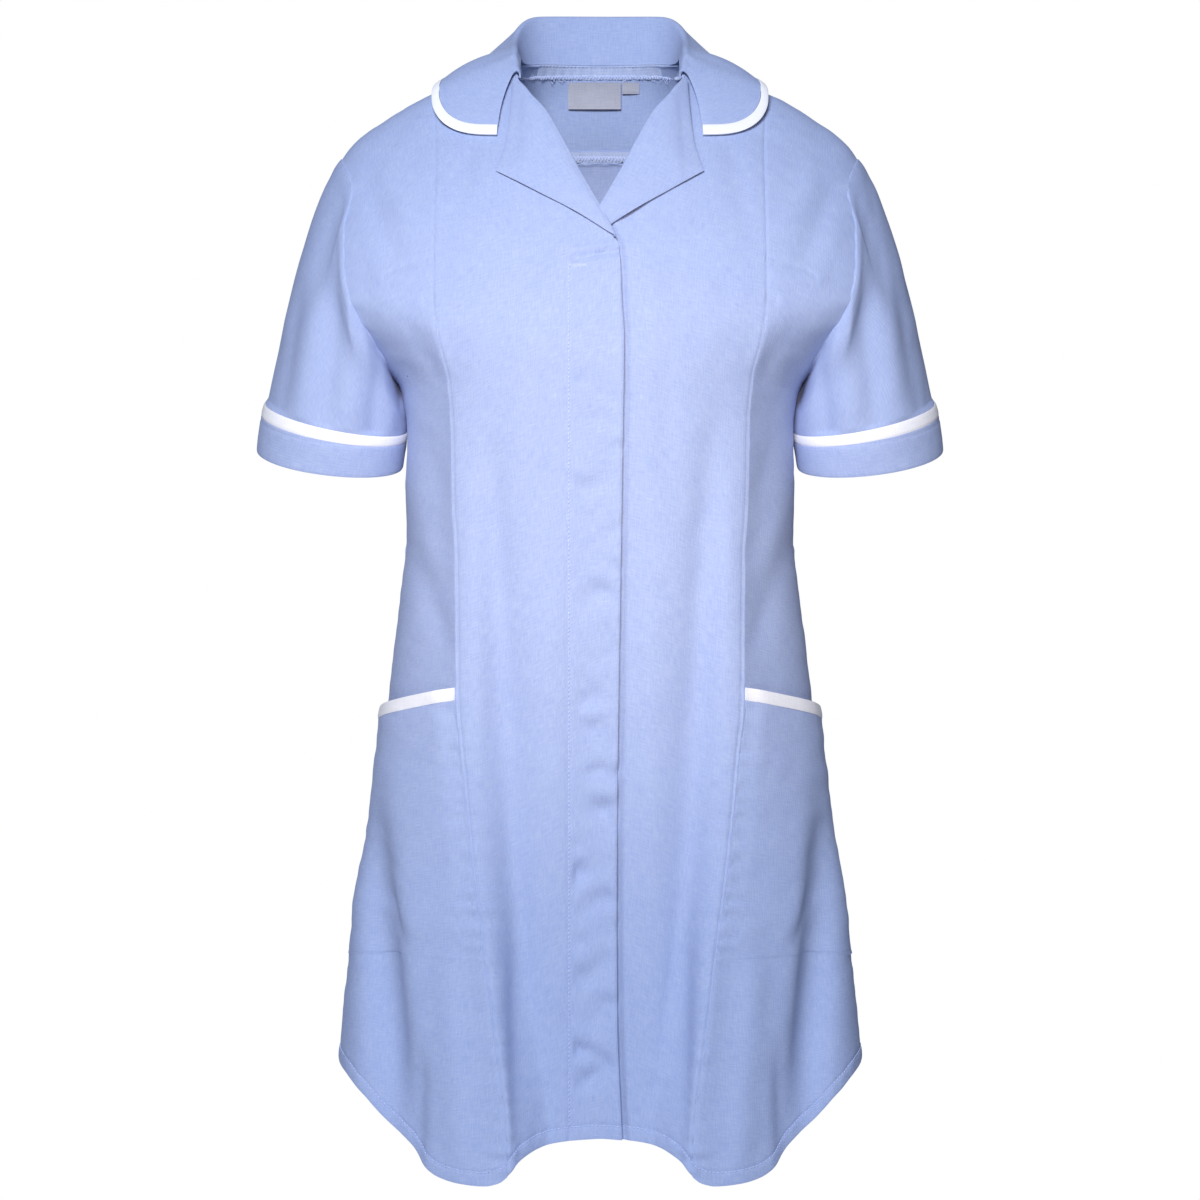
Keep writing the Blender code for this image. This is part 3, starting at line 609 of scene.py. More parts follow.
print("creases:", len(FRONT_CREASES), "front,", len(BACK_CREASES), "back,",
      len(SLEEVE_CREASES), "sleeve")


# %% Unevenness and puckers
WAVES, SHORTEST, LONGEST = 6, 0.6, 1.6          # how many waves, and their lengths as shares
BEND, BEND_LENGTH = 0.8, 0.43                   # each wave is itself bent, so none is regular
SEAM_SINKS, SEAM_WIDE, SEAM_ROUND = 0.75, 1.3, 1.5
PUCKER_DRIFT, PUCKER_LIKELY, PUCKER_VARIES = 3, 0.75, 0.9


def uneven(x, z, size, seed, depth=1):
    """Gentle unevenness of cloth that has been worn and washed: a few sine waves, from a seed."""
    pick = np.random.default_rng(seed)
    level = 0 * x
    for _ in range(WAVES):
        angle = pick.uniform(0, math.pi)
        length = size * pick.uniform(SHORTEST, LONGEST)
        start = pick.uniform(0, 2 * math.pi)
        wave = (x * math.cos(angle) + z * math.sin(angle)) * 2 * math.pi / length + start
        level += np.sin(wave + BEND * np.sin(wave * BEND_LENGTH + start)) / WAVES
    return depth * level


def pucker(along_seam, away, spacing, depth, reach, seed):
    """A row of short puckers along a seam, each a little different, fading away from it."""
    drift = uneven(along_seam, 0 * along_seam, spacing * 5, seed)
    wave = np.cos(2 * math.pi * along_seam / spacing + PUCKER_DRIFT * drift)
    changes = uneven(along_seam, 0 * along_seam + 40, spacing * 4, seed + 1)
    return depth * wave * (PUCKER_LIKELY + PUCKER_VARIES * changes) * np.exp(-np.abs(away) / reach)


def edge_rounds(away, sinks, reach):
    """A free edge is rounded: it sinks toward its end."""
    return -sinks * np.exp(-away / reach)


def groove(away, at, sinks, width):
    """A row of stitches sinks into the cloth at a distance from an edge."""
    return -sinks * bump(away - at, width)


def seam_roll(*distances):
    """Cloth rolls down into its seams."""
    return -SEAM_SINKS * sum(np.exp(-(np.abs(away) / SEAM_WIDE) ** SEAM_ROUND) for away in distances)


print("unevenness:", WAVES, "waves")


# %% The dart, and the whole surface of the body
DART = [(120.5, -148.0), (138.0, -152.8), (149.0, -156.5), (157.5, -162.0)]
DART_SINKS, DART_WIDE, DART_ENDS = 0.9, 1.3, 0.05
DART_PLUMP, PLUMP_HEIGHT, PLUMP_WIDE = 1.2, -163, 7
DEEPER = 1.4            # the creases, as measured against the photograph's shading
HOLLOW = 3.2            # a side-front hangs straight, so it lies flatter than the body's own curve
SEAM_ON_BODY, SEAM_ON_SKIRT, PUCKERS_ON_BODY = 0.85, 0.6, 0.15


def dart_groove(x, z):
    """The bust dart: a short seam from the princess seam toward the arm."""
    level = 0 * x
    for start, end in zip(DART[:-1], DART[1:]):
        away, on_it = beside(x, z, start, end, DART_ENDS)
        level = np.minimum(level, -DART_SINKS * bump(away, DART_WIDE) * on_it)
    out = np.abs(x)
    plump = rise(out, start=119, over=12) * rise(-out, start=-172, over=12)
    return level + DART_PLUMP * bump(z - PLUMP_HEIGHT, PLUMP_WIDE) * plump


def front_surface(x, z):
    """Everything that happens to the fronts between their edges."""
    princess = along(PRINCESS, "out", z)
    from_princess = np.abs(x) - princess
    level = DEEPER * creased(FRONT_CREASES, x, z) + dart_groove(x, z)
    skirt = rise(-z, start=360, over=300)
    level += (SEAM_ON_BODY + SEAM_ON_SKIRT * skirt) * seam_roll(from_princess)
    puckers = pucker(z, from_princess, spacing=13.5, depth=1.3, reach=9, seed=11)
    level += puckers * (PUCKERS_ON_BODY + (1 - PUCKERS_ON_BODY) * skirt)
    over_side = np.clip(from_princess / (along(RINGS, "half_width", z) - princess), 0, 1)
    level -= HOLLOW * np.sin(math.pi * over_side) * rise(-z, start=185, over=60)
    level += uneven(x, z * 0.7, size=46, seed=3, depth=0.55)
    return level + uneven(x, z, size=21, seed=5, depth=0.35)


def back_surface(x, z):
    """Everything that happens to the back between its edges."""
    level = creased(BACK_CREASES, x, z) + uneven(x, z * 0.6, size=60, seed=7, depth=0.8)
    return level + uneven(x, z, size=24, seed=9, depth=0.4)


print("dart, mm long:", round(math.dist(DART[0], DART[-1]), 1))


# %% The fly's wrinkles and the hem
# the fly's own wrinkles lie across it, between its fold and its row of stitches
FLY_PUCKERS = [
    (-236, 0.6), (-262, 0.8), (-291, 0.7), (-318, 0.9), (-345, 0.8), (-379, 1.2), (-401, 0.9),
    (-426, 1.3), (-447, 0.9), (-479, 1.4), (-500, 0.7), (-521, 1.2), (-543, 1.5), (-566, 1.0),
    (-592, 1.4), (-619, 1.5), (-644, 1.1), (-672, 1.6), (-695, 1.2), (-724, 1.5), (-750, 1.2),
]
FLY_STITCH = -22.5      # the fly's row of stitches, left of the centre as the photograph shows it
FLY_SLOPE, FLY_STRAYS, FLY_SHALLOW = 0.7, 11, 0.3
FLY_MIDDLES, FLY_WIDTHS, FLY_HEIGHTS = (-20, 16), (7, 15), (4.5, 8.0)
FLY_DENT, FLY_RIDGE = 2.0, 0.7
HEM_ROW = 10            # the hem's stitches, up from its edge
HEM_BAND, HEM_EDGE, HEM_GATHERS, HEM_GATHER_LONG = 0.45, 0.35, 0.27, 8.5


def fly_wrinkles(x, z):
    """The wrinkles across the fly, deepest toward its free edge."""
    level = 0 * x
    pick = np.random.default_rng(17)
    for height, depth in FLY_PUCKERS * 2:
        slope = pick.uniform(-FLY_SLOPE, FLY_SLOPE)
        middle = pick.uniform(*FLY_MIDDLES)
        wide = pick.uniform(*FLY_WIDTHS)
        high = pick.uniform(*FLY_HEIGHTS)
        away = z - height - pick.uniform(-FLY_STRAYS, FLY_STRAYS) - slope * (x - middle)
        deep = FLY_DENT + FLY_DENT * rise(-height, start=400, over=160)
        dent = deep * pick.uniform(FLY_SHALLOW, 1.0) * bump(away, high)
        ridge = FLY_RIDGE * bump(away - 2 * high, high)
        level += depth * (ridge - dent) * bump(x - middle, wide)
    return level * rise(x, FLY_STITCH, over=6)


def hem_turned(foot, along_hem):
    """The hem: a turned band, a row of stitches that bites into it, and a few puckers."""
    band = HEM_BAND * rise(-foot, start=-11, over=2)
    stitched = groove(foot, at=HEM_ROW, sinks=0.7, width=1.3)
    edge = HEM_EDGE * rise(-foot, start=-1.6, over=1.6)
    drift = uneven(along_hem, 0, size=50, seed=21, depth=2)
    gathers = HEM_GATHERS * np.cos(along_hem * 2 * math.pi / HEM_GATHER_LONG + drift)
    return band + stitched - edge + gathers * bump(foot - HEM_ROW + 1, width=6)


print("fly wrinkles:", len(FLY_PUCKERS))


# %% [markdown]
# ## The cloth: dyed poly-cotton
# Healthcare tunics are cut from a plain-woven blend of polyester and cotton, about 195 g to the
# square metre, dyed in the piece and pressed. The polyester gives a faint clean sheen at a
# grazing angle, the cotton keeps the surface matt, and the two fibres take the dye a little
# differently, which leaves fine slubs along both thread directions. The threads lie about 0.35 mm
# apart, which is too fine to show from here, so the weave is drawn at 1.1 mm.
# A Principled shader with its sheen covers all of that.

# %% Colour and node helpers
def linear(colour):
    """Turn an sRGB hex colour into the linear values that a shader takes."""
    channels = [int(colour[place:place + 2], 16) / 255 for place in (1, 3, 5)]
    bent = [value / 12.92 if value <= 0.04045 else ((value + 0.055) / 1.055) ** 2.4
            for value in channels]
    return (*bent, 1.0)


def node(tree, kind, settings=None, inputs=None):
    """Add a node with its settings, and set or link its inputs."""
    made = tree.nodes.new("ShaderNode" + kind)
    for name, value in (settings or {}).items():
        setattr(made, name, value)
    for name, value in (inputs or {}).items():
        if isinstance(value, bpy.types.NodeSocket):
            tree.links.new(value, made.inputs[name])
        else:
            made.inputs[name].default_value = value
    return made


def blank_material(name):
    """A material with nothing in it but its output."""
    material = bpy.data.materials.new(name)
    material.use_nodes = True
    material.node_tree.nodes.clear()
    return material, material.node_tree, node(material.node_tree, "OutputMaterial")


print("hospital blue, linear:", [round(value, 3) for value in linear("#B4C4EE")[:3]])


# %% Woven cloth of any colour
THREAD_SPACING = 1.1 * MM       # drawn three times as coarse as the real 0.35 mm
WAVE_TEXTURE_TURN = 0.3142      # a wave texture's scale for one band to the metre
ALONG_WARP, ALONG_WEFT = (1150.0, 110.0, 1.0), (120.0, 1150.0, 1.0)     # slubs to the metre
CLOUDS, CLOUD_WEIGHT, GLOSS_VARIES = 34.0, 0.3, 0.05


def woven(name, dyed, slub, roughness, sheen, weave_depth, shade):
    """Plain-woven cloth: two sets of threads, slubs along both, and a soft sheen."""
    material, tree, output = blank_material(name)
    place = node(tree, "UVMap", {"uv_map": "cloth"}).outputs["UV"]
    threads = []
    for direction in ("X", "Y"):
        wave = node(tree, "TexWave",
                    {"wave_type": "BANDS", "bands_direction": direction, "wave_profile": "SIN"},
                    {"Vector": place, "Scale": WAVE_TEXTURE_TURN / THREAD_SPACING / 2,
                     "Distortion": 0.6, "Detail": 1.0, "Detail Scale": 1.5})
        threads.append(wave.outputs["Fac"])
    weave = node(tree, "Math", {"operation": "MULTIPLY"}, {0: threads[0], 1: threads[1]})
    slubs = []
    for stretch in (ALONG_WARP, ALONG_WEFT):
        laid = node(tree, "Mapping", {}, {"Vector": place, "Scale": stretch})
        noise = node(tree, "TexNoise", {"noise_dimensions": "2D"},
                     {"Vector": laid.outputs["Vector"], "Scale": 1.0, "Detail": 2.0})
        slubs.append(noise.outputs["Fac"])
    both = node(tree, "Math", {"operation": "ADD"}, {0: slubs[0], 1: slubs[1]})
    cloud = node(tree, "TexNoise", {"noise_dimensions": "2D"},
                 {"Vector": place, "Scale": CLOUDS, "Detail": 4.0})
    mottled = node(tree, "Math", {"operation": "MULTIPLY_ADD"},
                   {0: cloud.outputs["Fac"], 1: CLOUD_WEIGHT, 2: both.outputs["Value"]})
    spread = node(tree, "MapRange", {"clamp": True},
                  {"Value": mottled.outputs["Value"], "From Min": 0.75, "From Max": 1.55})
    colour = node(tree, "Mix", {"data_type": "RGBA"},
                  {"Factor": spread.outputs["Result"], 6: linear(slub), 7: linear(dyed)})
    rough = node(tree, "MapRange", {},
                 {"Value": mottled.outputs["Value"], "From Min": 0.6, "From Max": 1.7,
                  "To Min": roughness + GLOSS_VARIES, "To Max": roughness - GLOSS_VARIES})
    height = node(tree, "Math", {"operation": "MULTIPLY_ADD"},
                  {0: mottled.outputs["Value"], 1: 0.6, 2: weave.outputs["Value"]})
    bumped = node(tree, "Bump", {}, {"Strength": weave_depth, "Distance": 0.25 * MM,
                                     "Height": height.outputs["Value"]})
    cloth = node(tree, "BsdfPrincipled", {},
                 {"Base Color": colour.outputs[2], "Roughness": rough.outputs["Result"],
                  "Normal": bumped.outputs["Normal"], "Sheen Weight": sheen,
                  "Sheen Roughness": 0.55, "Sheen Tint": linear(shade), "Specular IOR Level": 0.25})
    tree.links.new(cloth.outputs["BSDF"], output.inputs["Surface"])
    return material


blue_cloth = woven("dyed poly-cotton, plain weave", "#AFBEDF", "#9DADD7", 0.86, 0.10, 0.28, "#DCE4FF")
blue_inside = woven("dyed poly-cotton, wrong side", "#ADBEDE", "#9CADD7", 0.90, 0.10, 0.26, "#D4DEFB")
# the seam allowances' cloth is the blue cloth painted lighter: a painted highlight
blue_painted_lighter = woven("poly-cotton, painted lighter", "#C8D4EE", "#AFBFE2", 0.90, 0.15, 0.40, "#E6EDFF")
print("materials:", blue_cloth.name, "/", blue_inside.name)


# %% [markdown]
# ## The trims: bias binding, thread and label tape
# The piping and the bindings are white cotton cut on the bias and folded, so they are smooth,
# matt and slightly plump. The thread is spun polyester in a lighter blue than the cloth, a little
# shinier, with painted shade in the bands between its plies. The label is woven polyester satin:
# fine ribs across it and a soft gleam. Each is the same kind of woven surface in its own colour
# and gloss, except for the thread, whose twist is drawn as fine bands of painted shade round it.

# %% Binding, label tape and thread
white_binding = woven("bleached cotton bias binding", "#FBFBFD", "#F0F1F5", 0.80, 0.10, 0.25, "#FFFFFF")
label_tape = woven("woven satin label tape", "#BEBFC9", "#B2B3BF", 0.52, 0.05, 0.30, "#FFFFFF")
PLIES = 400.0           # bands of twist, drawn coarser than the real ones


def spun_thread(name, colour, ply_shade):
    """Spun polyester sewing thread: matt and twisted, with painted shade between its plies."""
    material, tree, output = blank_material(name)
    place = node(tree, "TexCoord").outputs["Object"]
    ply = node(tree, "TexWave", {"bands_direction": "DIAGONAL"},
               {"Vector": place, "Scale": PLIES, "Distortion": 1.0})
    # the ply bands mix in painted shade between the plies
    shaded_plies = node(tree, "Mix", {"data_type": "RGBA"},
                 {"Factor": ply.outputs["Fac"], 6: linear(ply_shade), 7: linear(colour)})
    spun = node(tree, "BsdfPrincipled", {},
                {"Base Color": shaded_plies.outputs[2], "Roughness": 0.6, "Sheen Weight": 0.2,
                 "Specular IOR Level": 0.35})
    tree.links.new(spun.outputs["BSDF"], output.inputs["Surface"])
    return material


blue_thread = spun_thread("spun polyester thread, blue", "#DCE5FA", "#AFC0EC")
print("trims:", white_binding.name, "/", label_tape.name, "/", blue_thread.name)


# %% Put a piece on the frame
def dress(piece, slot, *nodes):
    """The piece rides the tunic's one body and stands for its CAD nodes; the slot is not used."""
    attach(piece, "root")
    if nodes:
        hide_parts(*nodes)
    return piece


def fit(node_name, slot, *cut, **ways):
    """Make a shell and put it on the frame in place of its CAD node."""
    return dress(shell(*cut, **ways), slot, node_name)


# %% [markdown]
# ## The back: yoke and skirt
# The yoke is a doubled band across the shoulder blades, and the back hangs from its seam with a
# shallow box pleat in the middle. Inside, the seam is overlocked, and it shows through the
# open neck. Both are one grid of the same form, cut at the seam, so they meet in one line.

# %% The back
YOKE_SMOOTH = 0.5                       # a doubled yoke keeps half of the unevenness
PRESSED_AT, PRESSED_WIDE, PRESSED_DEEP = 17, 2.2, 1.1   # the pleat's two pressed edges


def yoke_folds(spot):
    """The yoke: nearly smooth, rolled into its seams."""
    level = YOKE_SMOOTH * back_surface(spot.x, spot.z)
    level += seam_roll(spot.first, spot.last, spot.foot, spot.top)
    return level + pucker(spot.x, spot.foot, spacing=12, depth=0.35, reach=5, seed=31)


def back_folds(spot):
    """The back: long folds under the yoke, a pressed pleat, rolled seams and a turned hem."""
    level = back_surface(spot.x, spot.z) + seam_roll(spot.first, spot.last, spot.top)
    level += pucker(spot.x, spot.top, spacing=14, depth=0.5, reach=8, seed=33)
    pressed = rise(-spot.z, start=60, over=30) * rise(spot.z, start=-470, over=260)
    level -= PRESSED_DEEP * bump(np.abs(spot.x) - PRESSED_AT, PRESSED_WIDE) * pressed
    level += pucker(spot.z, spot.sides, spacing=15, depth=0.6, reach=8, seed=35)
    return level + hem_turned(spot.foot, spot.x)


TOP_FINE, HEM_FINE = 0.01, 0.975        # rows lie closer together beyond these shares of a panel

fit("back_yoke", "blue_cloth", "yoke_cloth", blue_inside, back_part(0, YOKE_ROWS),
    fine_ends(130, ends=6, share=0.012), fine_ends(34, ends=4, share=0.06), 1, yoke_folds, smooth=(0, 14))
fit("back_panel", "blue_cloth", "back_cloth", blue_cloth, back_part(YOKE_ROWS, ROWS),
    fine_ends(150, ends=6, share=0.012), stretches((8, TOP_FINE), (190, HEM_FINE), (22, 1)), 1,
    back_folds)


# %% [markdown]
# ## The fronts: centre panels, side panels and the fly
# Princess seams run from the shoulders over the bust to the hem and shape the front in place of
# waist darts. The wearer's right centre panel laps over the left one, and its doubled edge is
# the fly that hides the buttons. Cloth that is doubled and stitched shrinks a little, so the fly
# wrinkles across all the way down, and that is the liveliest surface on the front.

# %% The fronts' folds
BELOW_LAPEL, EDGE_PLUMP, EDGE_WIDE, EDGE_SINKS = 150, 0.9, 9, 1.1
FLY_ROW_SINKS, FLY_ROW_WIDE, FLY_ROW_TOP = 0.9, 1.5, 153
FLY_START_HEIGHT, FLY_START_SLOPE, FLY_START_AT = -144.5, 0.16, 12
FLY_START_PLUMP, FLY_START_SINKS, FLY_START_LEFT = 1.5, 3.2, -24


def front_edge_turned(first, z):
    """A folded front edge, plump and rounded below the lapel."""
    rounded = EDGE_PLUMP * rise(-first, -EDGE_WIDE, over=8)
    rounded += edge_rounds(first, sinks=EDGE_SINKS, reach=1)
    return rounded * rise(-z, BELOW_LAPEL, over=30)


def fly_groove(x, z):
    """The row of stitches that holds the fly, and its curved start below the lapel."""
    line = FLY_ROW_SINKS * bump(x - FLY_STITCH, FLY_ROW_WIDE) * rise(-z, FLY_ROW_TOP, over=4)
    below = z - FLY_START_HEIGHT - FLY_START_SLOPE * (x - FLY_START_AT)
    start = FLY_START_PLUMP * bump(below - 4.5, width=3.5)
    start = start - FLY_START_SINKS * bump(below, width=1.9)
    return start * rise(x, FLY_STITCH, over=4) * rise(x, FLY_START_LEFT, over=4) - line


def right_front_folds(spot):
    """The upper front, with its fly."""
    level = front_surface(spot.x, spot.z) + front_edge_turned(spot.first, spot.z)
    level += fly_wrinkles(spot.x, spot.z) * rise(-spot.z, BELOW_LAPEL + 5, over=20)
    level += fly_groove(spot.x, spot.z)
    return level + hem_turned(spot.foot, spot.x) + seam_roll(spot.top)


def left_front_folds(spot):
    """The lower front, plain where it passes under the fly."""
    level = front_surface(spot.x, spot.z) * rise(spot.x, start=2, over=24)
    return level + hem_turned(spot.foot, spot.x) * rise(spot.x, start=4, over=12) + seam_roll(spot.top)


def side_front_folds(spot):
    """A side-front, rolled into the armhole and the side seam."""
    below_arm = rise(-spot.z, -UNDERARM - 4, over=12)
    level = front_surface(spot.x, spot.z) + seam_roll(spot.top) + seam_roll(spot.last) * below_arm
    level += pucker(spot.z, spot.last, spacing=15, depth=0.55, reach=8, seed=41)
    return level + hem_turned(spot.foot, spot.x)


print("the fly's stitches lie", -FLY_STITCH, "mm to the wearer's right of the centre")

# %% The fronts
HANDS = (("right", -1), ("left", 1))
front_rows = stretches((8, TOP_FINE), (270, HEM_FINE), (22, 1))
centre_columns, side_columns = fine_ends(62, ends=7, share=0.05), fine_ends(58, ends=7, share=0.06)
fit("front_centre_right", "blue_cloth", "right_front", blue_cloth, centre_panel(-1, FRONT_EDGE),
    centre_columns, front_rows, 1, right_front_folds)
fit("front_centre_left", "blue_cloth", "left_front", blue_cloth,
    centre_panel(1, LAP_EDGE, under_fly), centre_columns, front_rows, -1, left_front_folds)
for hand, side in HANDS:
    fit("front_side_" + hand, "blue_cloth", hand + "_side_front", blue_cloth, side_panel(side),
        side_columns, front_rows, -side, side_front_folds)


# %% [markdown]
# ## The sleeves: a set-in tube, a line of piping and a turned cuff
# A short sleeve is a tube cut a little larger than its armhole and eased into it, so its cap
# stands proud of the seam. It is made ring by ring, from the armhole's own shape at the top to a
# plain oval at the cuff. The cuff is doubled cloth, and a folded strip of white binding is
# caught between the two as flat piping.

# %% The sleeve's form
SLEEVE = table("down outer_out outer_up inner_out inner_up deep tilt", [
    (0, 193.5, -67.5, 147.5, -244, 66, 0), (26, 207, -90, 144.6, -249, 66, 0.03),
    (74, 222.8, -135, 144.4, -255, 64, 0.08), (121, 235.5, -180, 144.2, -261, 60, 0.14),
    (160, 244.5, -217.5, 144, -266, 56, 0.20), (192, 251.2, -249, 144.2, -271, 52.5, 0.24),
    (201.5, 253.5, -258, 145, -277.5, 52, 0.25), (229, 257.2, -285, 148, -298.5, 46.5, 0.30),
])
PIPING_TOP, PIPING_FOOT, CUFF_FOOT, CAP_FADE = 192.0, 201.5, 229.0, 125.0
TUCKED, TUCK_NARROWS = 3.0, 0.01    # its top edge lies this far inside the armhole, out of sight


def armhole(round_turn):
    """The armhole from the shoulder tip down the front and up the back, on the wearer's left."""
    height = SHOULDER_TIP + (UNDERARM - SHOULDER_TIP) * (1 - np.cos(round_turn)) / 2
    in_front = np.sin(round_turn) >= 0
    out = np.where(in_front, along(FRONT_ARMHOLE, "out", height), along(BACK_ARMHOLE, "out", height))
    turn = turn_at(np.minimum(out, along(RINGS, "half_width", height)), height)
    return torso(np.where(in_front, turn, math.pi - turn), height)


def sleeve_ring(round_turn, down):
    """The sleeve's plain oval at a length down its outer side."""
    middle = []
    for column in ("out", "up"):
        outer = along(SLEEVE, "outer_" + column, down)
        inner = along(SLEEVE, "inner_" + column, down)
        middle.append((outer + inner) / 2 + (outer - inner) / 2 * np.cos(round_turn))
    forward = along(SLEEVE, "deep", down) * np.sin(round_turn)
    return np.stack([middle[0], -forward, middle[1] - along(SLEEVE, "tilt", down) * forward], -1)


def sleeve_part(side, first, last, proud):
    """A function that places a stretch of the sleeve between two lengths."""
    def place(across, down):
        round_turn = 2 * math.pi * across
        length = first + (last - first) * down
        points = sleeve_ring(round_turn, length)
        own_shape = armhole(round_turn) - sleeve_ring(round_turn, 0 * length)
        points += own_shape * (1 - ease(length / CAP_FADE))[..., None]
        tucked = np.clip(-length, 0, None)
        points[..., 0] -= tucked
        points[..., 1] *= 1 - TUCK_NARROWS * tucked
        if proud:
            middle = (along(SLEEVE, "outer_out", length) + along(SLEEVE, "inner_out", length)) / 2
            away = points - np.stack([middle, 0 * middle, points[..., 2]], -1)
            points += unit(away) * proud
        points[..., 0] *= side
        return points
    return place


print("sleeve rings:", len(SLEEVE))


# %% The sleeve's folds
CAP_PLUMP, CAP_AT, CAP_WIDE = 1.1, 9, 8
BACK_STRETCH, BACK_OUT, BACK_DOWN, BACK_SHARE = 0.94, 8, 12, 0.8    # its back creases, elsewhere
CAP_SEAM = 0.3                          # an eased seam is shallower than a plain one
CUFF_ROW = 24                           # the stitches of the cuff, up from its foot


def sleeve_folds(spot):
    """A sleeve: eased into the armhole at its head, and softly folded above its cuff."""
    front = DEEPER * creased(SLEEVE_CREASES, spot.x, spot.z)
    back_out = BACK_STRETCH * np.abs(spot.x) + BACK_OUT
    back = BACK_SHARE * creased(SLEEVE_CREASES, back_out, spot.z + BACK_DOWN)
    level = front + (back - front) * rise(spot.y, start=-14, over=28)
    cap = CAP_PLUMP * bump(spot.top - CAP_AT, CAP_WIDE) * rise(spot.z, start=-215, over=60)
    level = level * rise(spot.top, start=0, over=40) + cap + CAP_SEAM * seam_roll(spot.top)
    level += pucker(spot.z * 0.8 + spot.y, spot.top, spacing=17, depth=0.2, reach=9, seed=51)
    level += uneven(spot.x + spot.y, spot.z, size=40, seed=53, depth=0.5)
    return level * rise(spot.foot, start=-0.75, over=5) + edge_rounds(spot.foot, sinks=0.4, reach=1.2)


def piping_plump(spot):
    """A flat folded strip: its edges turn under."""
    level = uneven(spot.first, spot.z, size=26, seed=55, depth=0.12)
    return level + edge_rounds(np.minimum(spot.top, spot.foot), sinks=0.7, reach=0.9)


def cuff_folds(spot):
    """A doubled cuff: firm, with a rounded foot and a row of stitches under its top edge."""
    level = uneven(spot.first, spot.z, size=48, seed=57, depth=0.35)
    level += uneven(spot.first, spot.z, size=17, seed=59, depth=0.15)
    level += edge_rounds(spot.foot, sinks=0.55, reach=1.1)
    level += edge_rounds(spot.top, sinks=0.45, reach=1.0)
    return level + groove(spot.foot, at=CUFF_ROW, sinks=0.35, width=1.1)


print("the cuff's stitches lie", CUFF_ROW, "mm up")

# %% The sleeves
CUFF_CLOTH, PIPING_CLOTH, PIPING_LAPS = 1.6, 1.3, 0.2
PIPING_PROUD, CUFF_PROUD = 0.7, 0.4
sleeve_rows = stretches((8, 0.04), (88, 0.96), (8, 1))
round_sleeve = parts(150)
for hand, side in HANDS:
    fit("sleeve_" + hand, "blue_cloth", hand + "_sleeve", blue_cloth,
        sleeve_part(side, -TUCKED, PIPING_TOP, 0), round_sleeve, sleeve_rows, side, sleeve_folds,
        tube=True)
    strip = sleeve_part(side, PIPING_TOP - PIPING_LAPS, PIPING_FOOT + PIPING_LAPS, PIPING_PROUD)
    fit("cuff_piping_" + hand, "white_binding", hand + "_cuff_piping", white_binding, strip,
        round_sleeve, parts(9), side, piping_plump, PIPING_CLOTH, tube=True)
    fit("cuff_" + hand, "blue_cloth", hand + "_cuff", blue_cloth,
        sleeve_part(side, PIPING_FOOT, CUFF_FOOT, CUFF_PROUD), round_sleeve,
        fine_ends(18, ends=4, share=0.12), side, cuff_folds, CUFF_CLOTH, tube=True)


# %% [markdown]
# ## The collar: a stand, a soft fold and a round-ended fall
# A revere collar is cut as one doubled piece. It rises from the neck seam, rolls over and falls
# on the shoulders, and its free edge is bound in white. It is made as ribs round the neck: each
# rib goes up the stand, over the fold and down the fall to a known place on the body, so the
# collar can't sink into the shoulder under it.

# %% The collar's ribs
COLLAR_LAY, COLLAR_INSET, COLLAR_LIFT, BELOW_SEAM = 2.2, 1.7, 0.6, 0.05
FOLD, STAND_SHARE, FOLD_SHARE, BINDING, SHOULDER_RIB = 3.2, 0.22, 0.24, 8.0, 5
CROWN_SHARE, CLEAR_REACH = 0.7, 45
RIBS = table("place neck_out neck_up stand lean edge_out edge_up crown", [
    (0, 0, 0, 39, 7, 0, -6, 2), (1, 24, 0, 39, 8, 34, -8, 2), (2, 43, 0, 39, 11, 66, -14, 4),
    (3, 55, 0, 30, 8, 92, -21, 7), (4, 61.2, 0, 16, 4, 108, -19, 7),
    (5, 62.3, 7.5, 10, 2, 117, -13, 6), (6, 62.3, 5, 7, 2, 121.5, -22, 5),
    (7, 62.3, 2.5, 7, 2, 121, -32, 5), (8, 62.2, -0.5, 6, 1, 117, -42.5, 5),
    (9, 62.1, -3.5, 6, 1, 109, -51, 5), (10, 61.9, -6, 6, 1, 97, -56.5, 4),
    (11, 61.8, -8.5, 6, 0, 84, -58.5, 4), (12, 61.6, -10.4, 6, 0, 72, -59, 3),
])
LAST_RIB = len(RIBS) - 1


def neck_seam(rib):
    """Where a rib leaves the neckline, at the back and then down the front edge."""
    out = along(RIBS, "neck_out", rib)
    at_back = rib < SHOULDER_RIB
    in_front = along(RIBS, "neck_up", np.maximum(rib, SHOULDER_RIB))
    up = np.where(at_back, back_neck(np.minimum(out, NECK_HALF)), in_front)
    turn = turn_at(out, up)
    return torso(np.where(at_back, math.pi - turn, turn), up)


def collar_edge(rib):
    """Where a rib's free edge lies on the back or the front of the body."""
    out = along(RIBS, "edge_out", rib)
    up = np.minimum(along(RIBS, "edge_up", rib), along(SHOULDER, "height", out) - BELOW_SEAM)
    share = ease((rib - SHOULDER_RIB) * 10 + 0.5)[..., None]
    return behind(out, up) + (before(out, up) - behind(out, up)) * share


def clear_of_body(points, room):
    """Lift points that would sink into the shoulders."""
    out, y, up = np.moveaxis(points, -1, 0)
    shoulder = along(SHOULDER, "height", np.abs(out))
    lowered = up - 2 * room * np.clip(1 - (shoulder - up) / CLEAR_REACH, 0, 1)
    front = before(out, lowered)[..., 1] - room
    back = behind(out, lowered)[..., 1] + room
    low = np.where(y < 0, np.minimum(y, front), np.maximum(y, back))
    points[..., 1] = np.where(lowered < shoulder, low, y)
    return points


print("ribs:", len(RIBS), "to each side")


